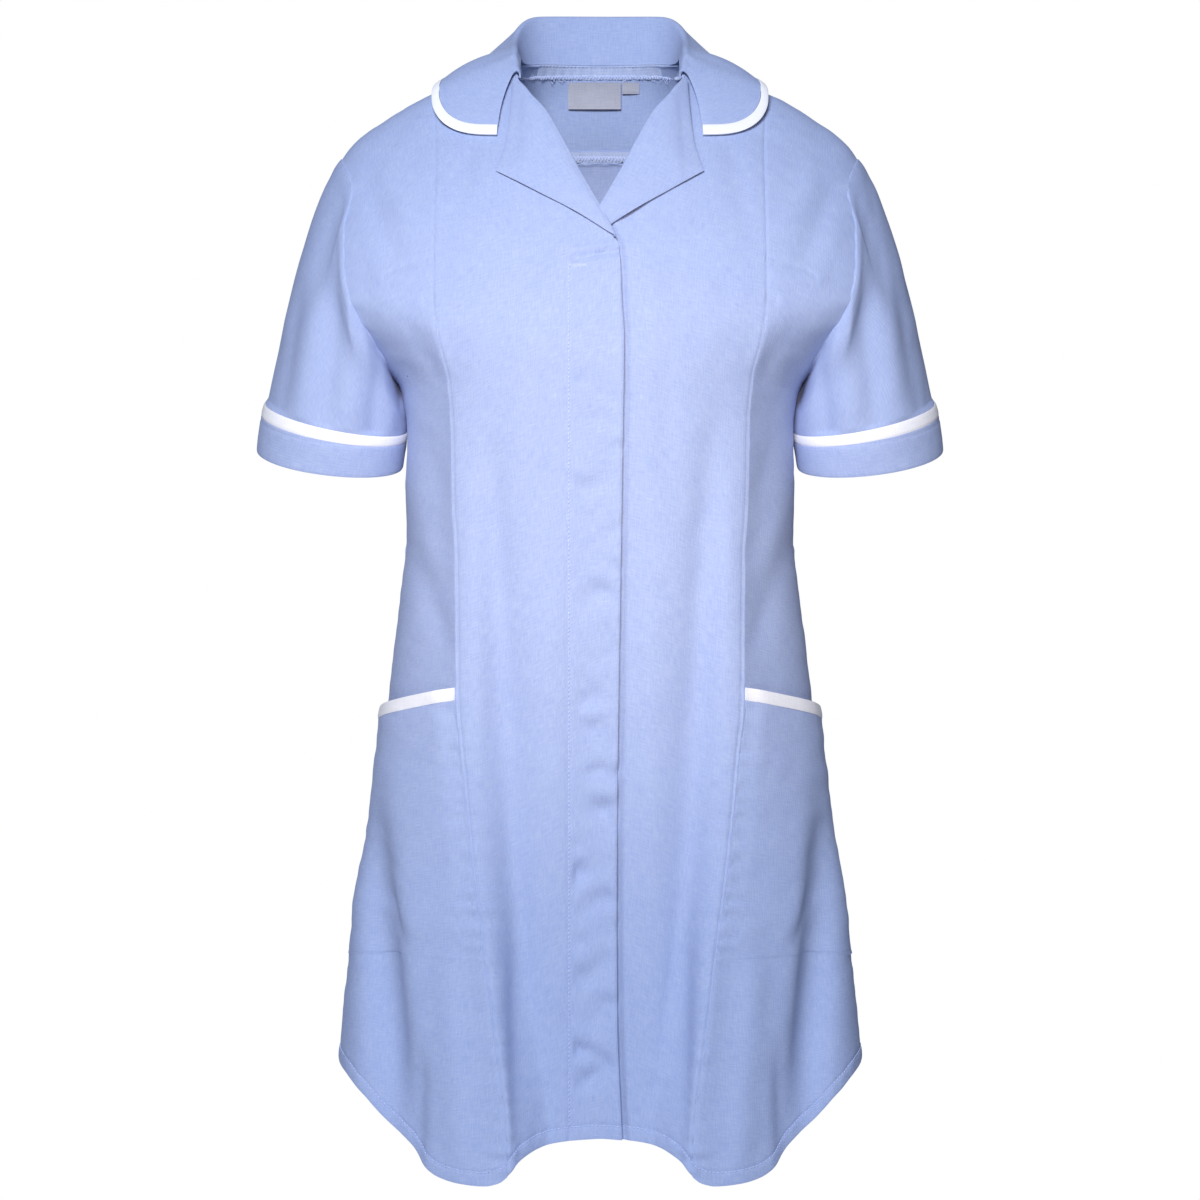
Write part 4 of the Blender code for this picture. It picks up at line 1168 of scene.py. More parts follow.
# %% The collar's form
def collar_part(first, last, proud):
    """A function that places the collar between two shares of its ribs' length."""
    def place(across, down):
        from_back = (2 * across - 1) * LAST_RIB
        rib = np.clip(np.abs(from_back), 0, LAST_RIB)
        share = first(rib) + (last(rib) - first(rib)) * down
        forward = neck_seam(rib + 0.1) - neck_seam(rib - 0.1)
        out = unit(np.stack([-forward[..., 1], forward[..., 0], 0 * rib], -1))
        up = np.array([0.0, 0.0, 1.0])
        neck = neck_seam(rib) - out * (WALL + COLLAR_INSET) + up * COLLAR_LIFT
        top = neck + out * (along(RIBS, "lean", rib) + FOLD)[..., None]
        top = top + up * (along(RIBS, "stand", rib) - FOLD)[..., None]
        stand = np.clip(share / STAND_SHARE, 0, 1)[..., None]
        bend = math.pi * (1 - np.clip((share - STAND_SHARE) / FOLD_SHARE, 0, 1))[..., None]
        falling = (share - STAND_SHARE - FOLD_SHARE) / (1 - STAND_SHARE - FOLD_SHARE)
        fall = np.clip(falling, 0, 1)[..., None]
        on_stand = neck + (top - out * FOLD - neck) * stand
        on_bend = top + out * FOLD * np.cos(bend) + up * FOLD * np.sin(bend)
        start = top + out * FOLD
        edge = collar_edge(rib) + (out + up) * (WALL + COLLAR_LAY)
        crown = along(RIBS, "crown", rib)[..., None] * 4 * fall * (1 - fall)
        on_fall = start + (edge - start) * fall + (out + up) * CROWN_SHARE * crown
        points = np.where(share[..., None] < STAND_SHARE, on_stand, on_bend)
        points = np.where(fall > 0, on_fall, points)
        lifted = clear_of_body(points.copy(), WALL + COLLAR_LAY)
        points = np.where(fall > 0, lifted, points)
        points = points + (out + up * 0.5) * proud * (fall > 0)
        points[..., 0] *= np.sign(from_back + 1e-12)
        return points
    return place


print("the collar stands over", STAND_SHARE, "of each rib and folds over", FOLD_SHARE)


# %% The collar's ends and folds
def neck_end(rib):
    """The collar starts at the neck seam."""
    return 0 * rib


def binding_start(rib):
    """The share of a rib where the bound edge begins."""
    length = np.linalg.norm(collar_edge(rib) - neck_seam(rib), axis=-1)
    return 1 - (1 - STAND_SHARE - FOLD_SHARE) * BINDING / length


def free_end(rib):
    """The collar ends at its free edge."""
    return 1 + 0 * rib


def collar_folds(spot):
    """The collar: smooth, a little wavy on its fall, with a groove of stitches at its foot."""
    level = uneven(spot.x, spot.z + spot.y, size=55, seed=61, depth=0.5)
    level = level * rise(spot.top, start=0, over=25) + groove(spot.top, at=5, sinks=0.35, width=1.1)
    level += groove(spot.foot, at=1.0, sinks=0.3, width=1.2)
    return level + edge_rounds(spot.sides, sinks=0.4, reach=1.0)


def round_band(spot, plump, sunk):
    """Binding wrapped over an edge is round across its width."""
    width = spot.top + spot.foot + 1e-6
    return plump * np.sqrt(np.clip(4 * spot.top * spot.foot / width ** 2, 0, 1)) - sunk


def binding_folds(spot):
    """The collar's binding, faintly puckered where it turns the corner."""
    puckers = 0.12 * np.cos(spot.first * 2 * math.pi / 4.2) * bump(spot.top - 1.5, width=1.5)
    return round_band(spot, 0.55, 0.25) + puckers


print("binding, mm wide:", BINDING)

# %% The collar and its binding
COLLAR_CLOTH, BINDING_CLOTH, BINDING_PROUD = 1.3, 2.0, 0.3
fit("collar", "blue_cloth", "collar_cloth", blue_cloth, collar_part(neck_end, binding_start, 0),
    parts(240), stretches((14, 0.22), (16, 0.46), (34, 1)), 1, collar_folds, COLLAR_CLOTH,
    smooth=(14, 12))
fit("collar_binding", "white_binding", "collar_edge_binding", white_binding,
    collar_part(binding_start, free_end, BINDING_PROUD), parts(360), parts(10), 1, binding_folds,
    BINDING_CLOTH, smooth=(0, 26))


# %% [markdown]
# ## The lapels: the fronts' own tops, rolled outward
# The front's doubled edge doesn't stop at the neck: it rolls over along a straight line and lies
# back on the chest as the lapel. The roll is a real bend, not a pressed fold, so it catches the
# light. Each lapel starts as a half circle round the roll line and then lies on the front, high
# near the roll and close to the cloth at its free edge.

# %% The lapels' form
LAPEL_LAY, LAPEL_TOP, UPPER_FOOT, UNDER_FOOT = 1.8, -12.0, -134.5, -127.0
LAPEL_CORNER, LAPEL_SWELL, ROLL_SHARE = 0.44, 1.8, 0.16
LAPEL_DROP = 0.2        # how much closer a lapel's free edge lies than its roll
ROLL_LAY, ROLL_ROUND, ROLL_ENDS = 0.2, 1.25, 0.08
TAIL_SINKS = 4.6        # the lower lapel's tail passes under the upper front
SHOULDER_NEAR = 70
FREE = "along out height"
GORGE = table(FREE, [(0, 65, -13), (0.22, 67, -42), (0.34, 69.6, -61), (0.44, 76.2, -83.5)])
UPPER_LAPEL = GORGE[-1:] + table(FREE, [(0.62, 46, -99.7), (0.80, 17, -115.6), (1, -10.9, -134)])
UNDER_LAPEL = GORGE[-1:] + table(FREE, [(0.62, 50, -98.9), (0.80, 28, -111.8), (1, 2.5, -128.5)])


def free_place(lower_edge, across):
    """A place on a lapel's free edge, whose corner stays sharp."""
    return [np.where(across < LAPEL_CORNER, along(GORGE, column, across),
                     along(lower_edge, column, across)) for column in ("out", "height")]


def on_front(out, height, proud):
    """A point standing proud of the front, on the wearer's left, smoothed past the neck's corner."""
    points = before(out, height)
    near = [before(out + step, height)[..., 1] for step in range(-20, 21, 4)]
    points[..., 1] = np.minimum(points[..., 1], sum(near) / len(near)) - proud
    near_top = 1 - ease((along(SHOULDER, "height", out) - height) / SHOULDER_NEAR)
    points[..., 2] += proud * near_top
    return points


def on_roll(height, proud):
    """A point on a lapel's roll line."""
    return on_front(along(FRONT_EDGE, "out", height), height, proud)


print("the lapels' corners lie", GORGE[-1].out, "mm out")


# %% One lapel
def lapel(side, lower_edge, foot):
    """A function that places a lapel: round its roll, then out to its free edge."""
    def place(across, down):
        height = LAPEL_TOP + (foot - LAPEL_TOP) * across
        fold_out = along(FRONT_EDGE, "out", height)
        edge_out, edge_up = free_place(lower_edge, across)
        lie = np.clip((down - ROLL_SHARE) / (1 - ROLL_SHARE), 0, 1)
        swell = LAPEL_SWELL * np.sin(math.pi * np.sqrt(lie)) * np.sin(math.pi * across)
        high = on_roll(height, LAPEL_LAY + WALL)
        outer = on_front(edge_out, edge_up, LAPEL_LAY + WALL - LAPEL_DROP)
        close = on_front(fold_out + (edge_out - fold_out) * lie, height + (edge_up - height) * lie,
                         LAPEL_LAY + WALL - LAPEL_DROP * lie)
        lying = high + (outer - high) * lie[..., None]
        lying[..., 1] = np.minimum(lying[..., 1], close[..., 1]) - swell
        low = on_roll(height, ROLL_LAY)
        radius = (high - low) / 2
        inward = unit(np.cross(radius, on_roll(height - 2, 0) - on_roll(height + 2, 0)))
        inward *= -np.sign(inward[..., :1])
        bend = (math.pi * np.clip(down / ROLL_SHARE, 0, 1))[..., None]
        reach = np.linalg.norm(radius, axis=-1) * ROLL_ROUND * ease(across / ROLL_ENDS + 0.1)
        rolled = (low + high) / 2 - radius * np.cos(bend) + inward * reach[..., None] * np.sin(bend)
        points = np.where(down[..., None] < ROLL_SHARE, rolled, lying)
        if side > 0:
            points[..., 1] += TAIL_SINKS * rise(across, start=0.86, over=0.14)
        points[..., 0] *= side
        return points
    return place


def lapel_folds(spot):
    """A lapel: doubled cloth with rounded edges and a soft unevenness."""
    level = uneven(spot.x, spot.z, size=42, seed=71, depth=0.3) * rise(spot.top, start=0, over=12)
    level += edge_rounds(spot.foot, sinks=0.5, reach=1.0)
    return level + edge_rounds(spot.sides, sinks=0.4, reach=1.0)


print("a lapel rolls over", ROLL_SHARE, "of its width")

# %% The lapels
LAPEL_CLOTH = 1.2
lapel_across = stretches((40, LAPEL_CORNER), (50, 1))
lapel_down = stretches((10, ROLL_SHARE), (40, 0.95), (6, 1))
for hand, side, lower_edge, foot in (("right", -1, UPPER_LAPEL, UPPER_FOOT),
                                     ("left", 1, UNDER_LAPEL, UNDER_FOOT)):
    fit("lapel_" + hand, "blue_cloth", hand + "_lapel", blue_cloth, lapel(side, lower_edge, foot),
        lapel_across, lapel_down, side, lapel_folds, LAPEL_CLOTH, smooth=(3, 0))


# %% [markdown]
# ## The pockets: patches with a bound mouth
# A hip pocket is a patch with its sides caught in the princess and side seams and its foot
# stitched down. Things have been put in and taken out of it, so its slanted mouth stands away
# from the body a little. The patch follows the front's own folds, and loses its distance from
# the body toward its three sewn edges.

# %% The pockets' form
POCKET_TOP, POCKET_SLANT, POCKET_BINDING, POCKET_GAPE, GAPE_FADES = -461.0, 17.0, 9.0, 3.0, 1.5
POCKET_LAY, SEWN_LAY, SEWN_SINKS, POCKET_SIDE = 1.4, 0.35, 0.75, math.radians(88.5)
MOUTH_OPENS, MOUTH_CLOSES = 0.15, 0.1


def pocket_part(side, first, last, proud):
    """A function that places a pocket between two distances below its slanted top."""
    def place(across, down):
        top = POCKET_TOP - POCKET_SLANT * across
        start = top - first
        end = POCKET_FOOT if last is None else top - last
        height = start + (end - start) * down
        inner = turn_at(along(PRINCESS, "out", height) + 1.0, height)
        turn = inner + (POCKET_SIDE - inner) * across
        points = torso(turn, height)
        ahead = torso(turn + 0.01, height) - torso(turn - 0.01, height)
        facing = unit(np.stack([ahead[..., 1], -ahead[..., 0], 0 * height], -1))
        depth = (top - height) / (top - POCKET_FOOT)
        mouth = np.clip(across / MOUTH_OPENS, 0, 1)
        mouth = mouth * np.clip((1 - across) / MOUTH_CLOSES + 0.5, 0, 1)
        gape = POCKET_GAPE * np.clip(1 - depth, 0, 1) ** GAPE_FADES * mouth
        free = rise(across, start=0, over=0.12) * rise(1 - across, start=0, over=0.1)
        free = free * rise(1 - depth, start=0, over=0.22)
        sewn_down = rise(depth, start=0.975, over=0.025) * rise(-across, start=-0.9, over=0.1)
        lay = SEWN_LAY + (POCKET_LAY + WALL - CLOTH / 2) * free - SEWN_SINKS * sewn_down
        points += facing * (lay + proud + gape)[..., None]
        points[..., 0] *= side
        return points
    return place


def pocket_folds(spot):
    """A pocket: the front's folds, softened, with a row of stitches near its foot."""
    level = front_surface(spot.x, spot.z)
    level += uneven(spot.x, spot.z, size=40, seed=81, depth=0.6)
    level += uneven(spot.x, spot.z, size=20, seed=83, depth=0.3)
    level += pucker(spot.z, spot.sides, spacing=13.5, depth=0.5, reach=7, seed=85)
    level += edge_rounds(spot.sides, sinks=0.5, reach=1.2)
    return level + groove(spot.foot, at=3, sinks=0.2, width=1.3)


def pocket_binding_folds(spot):
    """The bound mouth: a rounded band on the pocket's folds."""
    level = front_surface(spot.x, spot.z) + uneven(spot.x, spot.z, size=40, seed=81, depth=0.6)
    return level + round_band(spot, 0.5, 0.2)


print("pocket, mm deep at its inner side:", POCKET_TOP - POCKET_FOOT)

# %% The pockets
POCKET_CLOTH, MOUTH_CLOTH, MOUTH_LAPS, MOUTH_PROUD = 0.6, 1.5, 0.3, 0.5
pocket_columns = fine_ends(56, ends=6, share=0.05)
for hand, side in HANDS:
    fit("pocket_" + hand, "blue_cloth", hand + "_pocket", blue_cloth,
        pocket_part(side, POCKET_BINDING, None, 0), pocket_columns, fine_ends(80, ends=6, share=0.03),
        -side, pocket_folds, POCKET_CLOTH)
    mouth = pocket_part(side, 0, POCKET_BINDING + MOUTH_LAPS, MOUTH_PROUD)
    fit("pocket_binding_" + hand, "white_binding", hand + "_pocket_binding", white_binding, mouth,
        pocket_columns, parts(10), -side, pocket_binding_folds, MOUTH_CLOTH)


# %% [markdown]
# ## The label and the tab
# A woven label is sewn inside the back neck by its two short ends, and a small folded tab is
# caught beside it. Both are bare here. They stand a little off the yoke, held by their
# stitches, so a thin shadow shows under them.

# %% The label and the tab
LABEL_LAY, TAPE_TOP, BESIDE_PLEAT = 1.9, -0.5, 22
LABEL_LEFT, LABEL_RIGHT, LABEL_FOOT = -24.5, 16.0, -20.5
TAB_LEFT, TAB_RIGHT, TAB_FOOT = 17.0, 30.0, -9.0
LABEL_CLOTH, TAB_CLOTH, LABEL_CURL, TAB_PLUMP = 0.5, 0.6, 0.5, 0.3


def inside_back(left, right, foot):
    """A function that places something flat on the inside of the yoke."""
    def place(across, down):
        out = left + (right - left) * across
        height = TAPE_TOP + (foot - TAPE_TOP) * down
        points = behind(out, height)
        points[..., 1] = behind(BESIDE_PLEAT + 0 * out, height)[..., 1] - WALL - LABEL_LAY
        return points
    return place


def label_folds(spot):
    """A label: held down at its ends, a little proud and curled between them."""
    curl = LABEL_CURL * rise(spot.sides, start=0, over=5)
    return curl + uneven(spot.x, spot.z, size=22, seed=91, depth=0.25)


def tab_folds(spot):
    """A folded tab: plump at its fold."""
    return TAB_PLUMP * rise(spot.foot, start=0, over=2)


fit("neck_label", "label_tape", "neck_label_tape", label_tape,
    inside_back(LABEL_LEFT, LABEL_RIGHT, LABEL_FOOT), fine_ends(40, ends=4, share=0.05),
    fine_ends(20, ends=3, share=0.06), -1, label_folds, LABEL_CLOTH)
fit("size_tab", "label_tape", "tab_tape", label_tape, inside_back(TAB_LEFT, TAB_RIGHT, TAB_FOOT),
    parts(14), parts(10), -1, tab_folds, TAB_CLOTH)


# %% [markdown]
# ## Thread: rows of stitches and overlocked edges
# A lockstitch shows as a row of short plump strokes, each sinking into the cloth at its needle
# hole. An overlocked edge is a zigzag of thread wrapped round raw cloth, with a few frayed ends.
# Drawn in a texture they would stay flat, so each stroke is a small bent rod of thread, and all
# the strokes of one row are one mesh. The real thread is 0.25 mm thick and is drawn at 0.8 mm,
# because a finer one would vanish in the picture.

# %% Strokes of thread
THREAD, ARCH, ROUND_THREAD = 0.8, 0.4, 5
ALONG_STROKE = np.array([0.0, 0.14, 0.38, 0.62, 0.86, 1.0])
STROKE_GIRTH = np.array([0.35, 0.85, 1.0, 1.0, 0.85, 0.35])


def strokes(name, starts, ends, outs, thick=THREAD, arch=ARCH):
    """Many short rods of thread in one mesh, each bent outward between its two ends."""
    rings = len(ALONG_STROKE)
    run = ends - starts
    ahead = unit(run)
    sideways = unit(np.cross(ahead, outs))
    above = np.cross(sideways, ahead)
    share = ALONG_STROKE[None, :, None]
    middle = starts[:, None] + run[:, None] * share
    middle = middle + outs[:, None] * arch * 4 * share * (1 - share)
    turn = (2 * math.pi * np.arange(ROUND_THREAD) / ROUND_THREAD)[:, None]
    girth = (STROKE_GIRTH * thick / 2)[None, :, None, None]
    rim = sideways[:, None, None] * np.cos(turn) + above[:, None, None] * np.sin(turn)
    points = (middle[:, :, None] + rim * girth).reshape(-1, 3) * MM

    side = np.arange(ROUND_THREAD)
    following = (side + 1) % ROUND_THREAD
    faces = []
    for base in range(0, len(points), rings * ROUND_THREAD):
        for low in range(base, base + (rings - 1) * ROUND_THREAD, ROUND_THREAD):
            high = low + ROUND_THREAD
            faces.extend(zip(low + side, high + side, high + following, low + following))
        faces.append(tuple(base + side))
        faces.append(tuple(base + (rings - 1) * ROUND_THREAD + side[::-1]))
    mesh = bpy.data.meshes.new(name)
    mesh.from_pydata(points.tolist(), [], [tuple(map(int, face)) for face in faces])
    mesh.shade_smooth()
    mesh.materials.append(blue_thread)
    print(f"{name}: {len(starts)} strokes")
    return in_scene(name, mesh)


# %% Find a line on a piece of cloth
STITCH_LEAN, OVERLOCK_STRAYS, OVERLOCK_ARCH = 0.12, 0.3, 0.35


def line_on(name, edge, away):
    """The points and facings of a line that runs a distance in from one edge of a made piece."""
    points, out = surfaces[name]
    distance = getattr(spots(points), edge)
    if distance[0, 0] > distance[-1, 0]:
        points, out, distance = points[::-1], out[::-1], distance[::-1]
    columns = range(points.shape[1])
    read = [[np.interp(away, distance[:, column], array[:, column, axis]) for axis in range(3)]
            for array in (points, out) for column in columns]
    return np.array(read).reshape(2, points.shape[1], 3)


def read_line(line, pitch, start, end):
    """Points and facings at an even pitch along a line, and a function that reads others."""
    points, out = line
    travelled = np.append(0, np.cumsum(np.linalg.norm(np.diff(points, axis=0), axis=-1)))
    steps = np.arange(start, travelled[-1] - end, pitch)

    def read(array, at):
        return np.stack([np.interp(at, travelled, array[:, axis]) for axis in range(3)], -1)

    return steps, read


def row_of_stitches(name, line, length, pitch, slant=0.0, seed=1, arch=ARCH):
    """Even strokes along a line, each a little off true."""
    steps, read = read_line(line, pitch, 0.5 * pitch, pitch)
    pick = np.random.default_rng(seed)
    first = read(line[0], steps)
    second = read(line[0], steps + length)
    facing = unit(read(line[1], steps))
    aside = unit(np.cross(second - first, facing))
    lean = slant + STITCH_LEAN * pick.standard_normal(len(steps))[:, None]
    return strokes(name, first - aside * lean, second + aside * lean, facing, arch=arch)


def zigzag(name, line, depth, pitch, seed):
    """Overlocking: strokes that go to and fro across a raw edge."""
    steps, read = read_line(line, pitch / 2, 0, 0)
    pick = np.random.default_rng(seed)
    place = read(line[0], steps)
    facing = read(line[1], steps)
    low = np.arange(len(steps)) % 2 == 0
    reach = np.where(low, -depth / 2, depth / 2)
    place[:, 2] += reach + OVERLOCK_STRAYS * pick.standard_normal(len(steps))
    return strokes(name, place[:-1], place[1:], facing[:-1], arch=OVERLOCK_ARCH)


print("thread drawn at", THREAD, "mm")


# %% [markdown]
# ## Inside the neck: seam allowances, overlocked and turned down
# Where the collar joins the back, the raw edges are overlocked together and pressed down inside.
# They show in the open neck as a narrow band with a frayed lower edge, and a second overlocked
# band runs along the yoke seam. Each is a strip of cloth on the wrong side of the yoke, with
# thread over it.

# %% The seam allowances
NECK_ALLOWANCE, YOKE_ALLOWANCE, ALLOWANCE_LIFT, ALLOWANCE_CLOTH = 11.0, 8.0, 1.2, 0.5
NECK_INSET, NECK_LIFT, NECK_SIDES_LIFT, NECK_READ = 1.0, 1.2, 5.4, 2
YOKE_HALF, YOKE_BAND, YOKE_BAND_FALLS = 120.0, -60.0, 27.83
RIPPLE, RIPPLE_LONG = 0.35, 7.5


def neck_allowance(across, down):
    """A strip inside the back neck, from the collar's seam downward."""
    out = (2 * across - 1) * (NECK_HALF - NECK_INSET)
    height = back_neck(out) + NECK_INSET - NECK_ALLOWANCE * down - NECK_READ
    points = behind(out, height)
    points[..., 2] += NECK_READ
    points[..., 1] -= CLOTH + ALLOWANCE_LIFT + NECK_LIFT * (1 - down)
    points[..., 1] -= NECK_SIDES_LIFT * (out / NECK_HALF) ** 2
    return points


def yoke_allowance(across, down):
    """A strip inside the yoke, just above its seam."""
    out = (2 * across - 1) * YOKE_HALF
    height = YOKE_BAND - YOKE_BAND_FALLS * (out / TIP_HALF) ** 2 + YOKE_ALLOWANCE * (1 - down)
    points = behind(out, height)
    points[..., 1] -= CLOTH + ALLOWANCE_LIFT
    return points


def allowance_folds(spot):
    """Raw doubled cloth, rippled by its overlocking."""
    drift = uneven(spot.x, 0, size=40, seed=101, depth=2)
    return RIPPLE * np.cos(spot.x * 2 * math.pi / RIPPLE_LONG + drift) * rise(spot.top, start=0, over=8)


# both strips take the cloth painted lighter, a painted highlight on the allowances
for name, place, rows in (("neck_seam_allowance", neck_allowance, 12),
                          ("yoke_seam_allowance", yoke_allowance, 10)):
    fit("back_yoke", "blue_cloth", name, blue_painted_lighter, place, parts(120), parts(rows), -1,
        allowance_folds, ALLOWANCE_CLOTH)

# %% Thread inside the neck
neck_overlock = zigzag("neck_overlock", line_on("neck_seam_allowance", "foot", 2.2),
                       depth=4.0, pitch=2.4, seed=5)
yoke_overlock = zigzag("yoke_overlock", line_on("yoke_seam_allowance", "foot", 3.5),
                       depth=4.6, pitch=2.6, seed=6)
collar_row = row_of_stitches("neck_topstitch", line_on("neck_seam_allowance", "top", 1.6),
                             length=2.2, pitch=3.0, seed=7)

FRAYED, FRAY_ASIDE, FRAY_IN, FRAY_DOWN, FRAY_LONG = 46, 1.6, 0.4, 1.0, 3.4
pick = np.random.default_rng(12)
edge_points, edge_facings = line_on("neck_seam_allowance", "foot", 0.3)
chosen = pick.integers(4, len(edge_points) - 4, FRAYED)
drop = np.stack([FRAY_ASIDE * pick.standard_normal(FRAYED), -FRAY_IN - FRAY_IN * pick.random(FRAYED),
                 -FRAY_DOWN - FRAY_LONG * pick.random(FRAYED)], -1)
frayed = strokes("frayed_ends", edge_points[chosen], edge_points[chosen] + drop,
                 edge_facings[chosen], thick=0.3, arch=0.5)
for thread in (neck_overlock, yoke_overlock, collar_row, frayed):
    dress(thread, "blue_cloth", "back_yoke")


# %% [markdown]
# ## Stitches that show outside
# The fly is held by one long row with a short bar of dense stitches at its top, which takes the
# strain when the front is pulled open. The hem has one row all round, a finger's width up.

# %% The fly's row and its bar
def right_front_line(out, top, foot):
    """A line down the right front at one distance from the centre line."""
    points, facing = surfaces["right_front"]
    read = [[np.interp(-out, -row[:, 0], array[:, axis]) for axis in range(3)]
            for row, array in zip(list(points) * 2, list(points) + list(facing))]
    read = np.array(read).reshape(2, len(points), 3)
    return read[:, (read[0, :, 2] < top) & (read[0, :, 2] > foot)]


STITCH, STITCH_PITCH, HEM_STITCH = 2.3, 3.1, 2.2
FLY_TOP, FLY_FOOT, FLY_SLANT = -154.0, -782.0, 0.25
fly_line = right_front_line(FLY_STITCH, FLY_TOP, FLY_FOOT)
fly_row = row_of_stitches("fly_stitches", fly_line, STITCH, STITCH_PITCH, slant=FLY_SLANT, seed=9)

BAR_STROKES, BAR_WIDE, BAR_HIGH, BAR_LEAN, BAR_PROUD = 14, 12.0, 1.5, 0.7, 0.2
bar_points, bar_facings = right_front_line(FLY_STITCH, FLY_TOP + 3, FLY_TOP - 3)
bar_middle = bar_points[len(bar_points) // 2]
bar_facing = np.repeat(bar_facings[:1], BAR_STROKES, axis=0)
bar_out = np.linspace(0, BAR_WIDE, BAR_STROKES)
bar_low = bar_middle + np.stack([bar_out, 0 * bar_out - BAR_PROUD, 0 * bar_out - BAR_HIGH], -1)
bar_high = bar_low + np.array([BAR_LEAN, 0.0, 2 * BAR_HIGH])
fly_bar = strokes("fly_bar", bar_low, bar_high, bar_facing)
for thread in (fly_row, fly_bar):
    dress(thread, "blue_cloth", "front_centre_right")

# %% The hem's row
hem_rows_of = {}
HEM_PIECES = {"right_front": "front_centre_right", "left_front": "front_centre_left",
              "right_side_front": "front_side_right", "left_side_front": "front_side_left",
              "back_cloth": "back_panel"}
for seed, (cloth_name, node_name) in enumerate(HEM_PIECES.items(), 20):
    hem_row = row_of_stitches(cloth_name + "_hem_stitches", line_on(cloth_name, "foot", HEM_ROW),
                              HEM_STITCH, STITCH_PITCH, seed=seed, arch=0.35)
    hem_rows_of[cloth_name] = dress(hem_row, "blue_cloth", node_name)


# %% [markdown]
# ## The thread on each piece
# A tunic is cut flat, with a centimetre of seam allowance round every panel and two more for the
# hem. Here each row of stitches is listed with the piece of cloth that it is sewn on.

sewn_on = {name: [row] for name, row in hem_rows_of.items()}
sewn_on["right_front"] += [fly_row, fly_bar]
sewn_on["neck_seam_allowance"] = [neck_overlock, collar_row, frayed]
sewn_on["yoke_seam_allowance"] = [yoke_overlock]


# %% [markdown]
# ## The floor, the light and the camera
# The tunic was photographed straight from the front, a good way off, in soft light. A softbox
# stands above and a little to the left of the camera, and from there it draws a thin shadow
# along the fly. A lamp with a narrow snoot warms the bust and the waist, and a second softbox
# lights the back. The sky is dim for the cloth and white for the eye, as lit paper is, and the
# floor is a round sheet of paper far below the hem, so no line crosses the picture.

# %% Paper
TOOTH = 900.0           # the paper's tooth, in grains to the metre


def plain_paper(name, colour):
    """Matt background paper: pressed fibre, with a barely visible tooth."""
    material, tree, output = blank_material(name)
    place = node(tree, "TexCoord").outputs["Object"]
    tooth = node(tree, "TexNoise", {}, {"Vector": place, "Scale": TOOTH, "Detail": 2.0})
    bumped = node(tree, "Bump", {},
                  {"Strength": 0.05, "Distance": 0.2 * MM, "Height": tooth.outputs["Fac"]})
    paper = node(tree, "BsdfPrincipled", {},
                 {"Base Color": linear(colour), "Roughness": 0.95, "Specular IOR Level": 0.1,
                  "Normal": bumped.outputs["Normal"]})
    tree.links.new(paper.outputs["BSDF"], output.inputs["Surface"])
    return material


FLOOR_DROP, FLOOR_REACH, FLOOR_SIDES = 1.12, 1.7, 96    # metres, below the shoulders and across
round_edge = 2 * math.pi * np.arange(FLOOR_SIDES) / FLOOR_SIDES
floor_points = np.stack([FLOOR_REACH * np.cos(round_edge), FLOOR_REACH * np.sin(round_edge),
                         0 * round_edge - FLOOR_DROP], -1)
floor_mesh = bpy.data.meshes.new("floor")
floor_mesh.from_pydata(floor_points.tolist(), [], [tuple(range(FLOOR_SIDES))])
floor_mesh.materials.append(plain_paper("matt background paper", "#F4F4F5"))
floor = in_scene("paper_floor", floor_mesh)
floor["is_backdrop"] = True
print("floor:", 2 * FLOOR_REACH, "m across,", FLOOR_DROP, "m below the shoulders")


# %% The lights
def lamp(name, kind, place, target, power, colour, **settings):
    """A light of a kind that points at a place."""
    light = bpy.data.lights.new(name, kind)
    light.energy = power
    light.color = linear(colour)[:3]
    for setting, value in settings.items():
        setattr(light, setting, value)
    made = in_scene(name, light)
    made.location = place
    made.rotation_euler = (Vector(target) - Vector(place)).to_track_quat("-Z", "Y").to_euler()
    return made


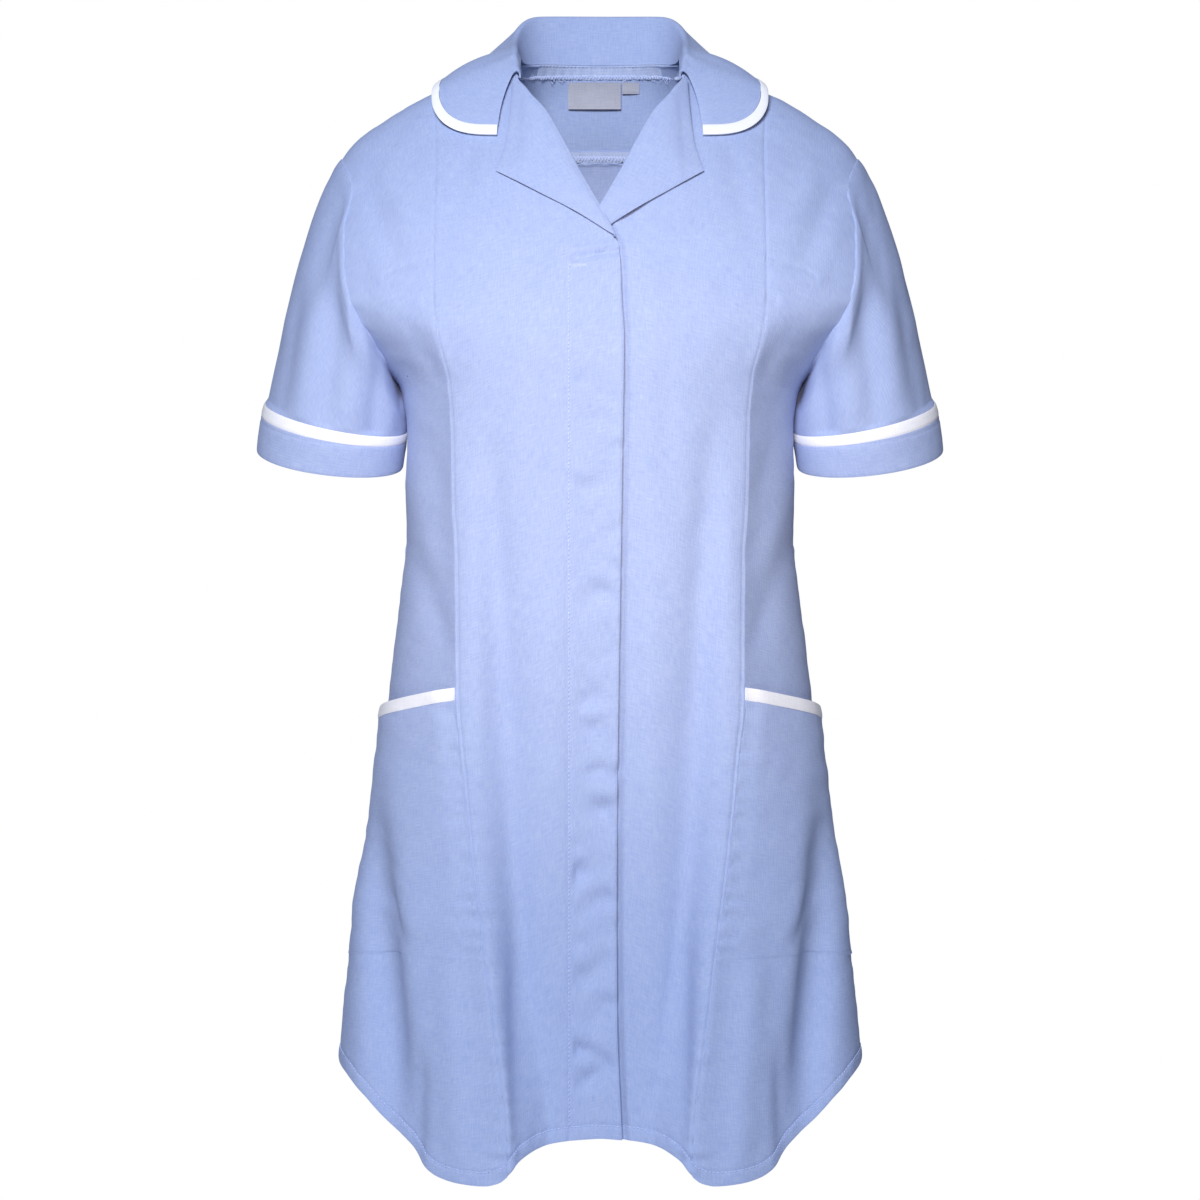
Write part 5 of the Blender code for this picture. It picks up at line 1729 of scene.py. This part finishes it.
lamp("front softbox", "AREA", (-0.32, -2.3, 0.85), (0.0, 0.0, -0.20), 64.0, "#EEF3FF",
     shape="RECTANGLE", size=0.7, size_y=0.5)
lamp("back softbox", "AREA", (0.0, 2.6, 0.60), (0.0, 0.0, -0.35), 26.0, "#F4F7FF",
     shape="RECTANGLE", size=1.4, size_y=0.9)
lamp("snooted lamp", "SPOT", (0.0, -3.2, 0.05), (0.0, -0.1, -0.31), 188.0, "#FFE1C2",
     spot_size=math.radians(12.0), spot_blend=1.0, shadow_soft_size=0.12)

# The sky that lights the tunic is dim, and the one that shows behind it is white paper, evenly lit
SKY_LIGHT, SKY_SEEN = 0.17, 1.0
sky = bpy.data.worlds.new("studio")
sky.use_nodes = True
sky.node_tree.nodes.clear()
seen = node(sky.node_tree, "LightPath").outputs["Is Camera Ray"]
strength = node(sky.node_tree, "MapRange", {},
                {"Value": seen, "To Min": SKY_LIGHT, "To Max": SKY_SEEN})
tint = node(sky.node_tree, "Mix", {"data_type": "RGBA"},
            {"Factor": seen, 6: linear("#DAE4FF"), 7: linear("#FFFFFF")})
backdrop = node(sky.node_tree, "Background", {},
                {"Color": tint.outputs[2], "Strength": strength.outputs["Result"]})
node(sky.node_tree, "OutputWorld", {}, {"Surface": backdrop.outputs["Background"]})
bpy.context.scene.world = sky
bpy.context.scene.view_settings.view_transform = "Standard"
print("lights:", [light.name for light in bpy.data.lights])

# %% The camera
EYE = (0.0, -3.0, -0.3975)
LENS, SENSOR = 120.0, 36.0
lens = bpy.data.cameras.new("camera")
lens.lens = LENS
lens.sensor_width = SENSOR
camera = in_scene("camera", lens)
camera.location = EYE
camera.rotation_euler = (math.pi / 2, 0.0, 0.0)
bpy.context.scene.camera = camera
print("picture width at the shoulders, m:", round(SENSOR / LENS * -EYE[1], 3))


# %% Sizes, and the end
visual_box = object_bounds()
for axis, name in enumerate("xyz"):
    spare = [round((cad_box[0][axis] - visual_box[0][axis]) / MM, 1),
             round((visual_box[1][axis] - cad_box[1][axis]) / MM, 1)]
    print("visual model beyond the CAD box,", name, "mm:", spare)
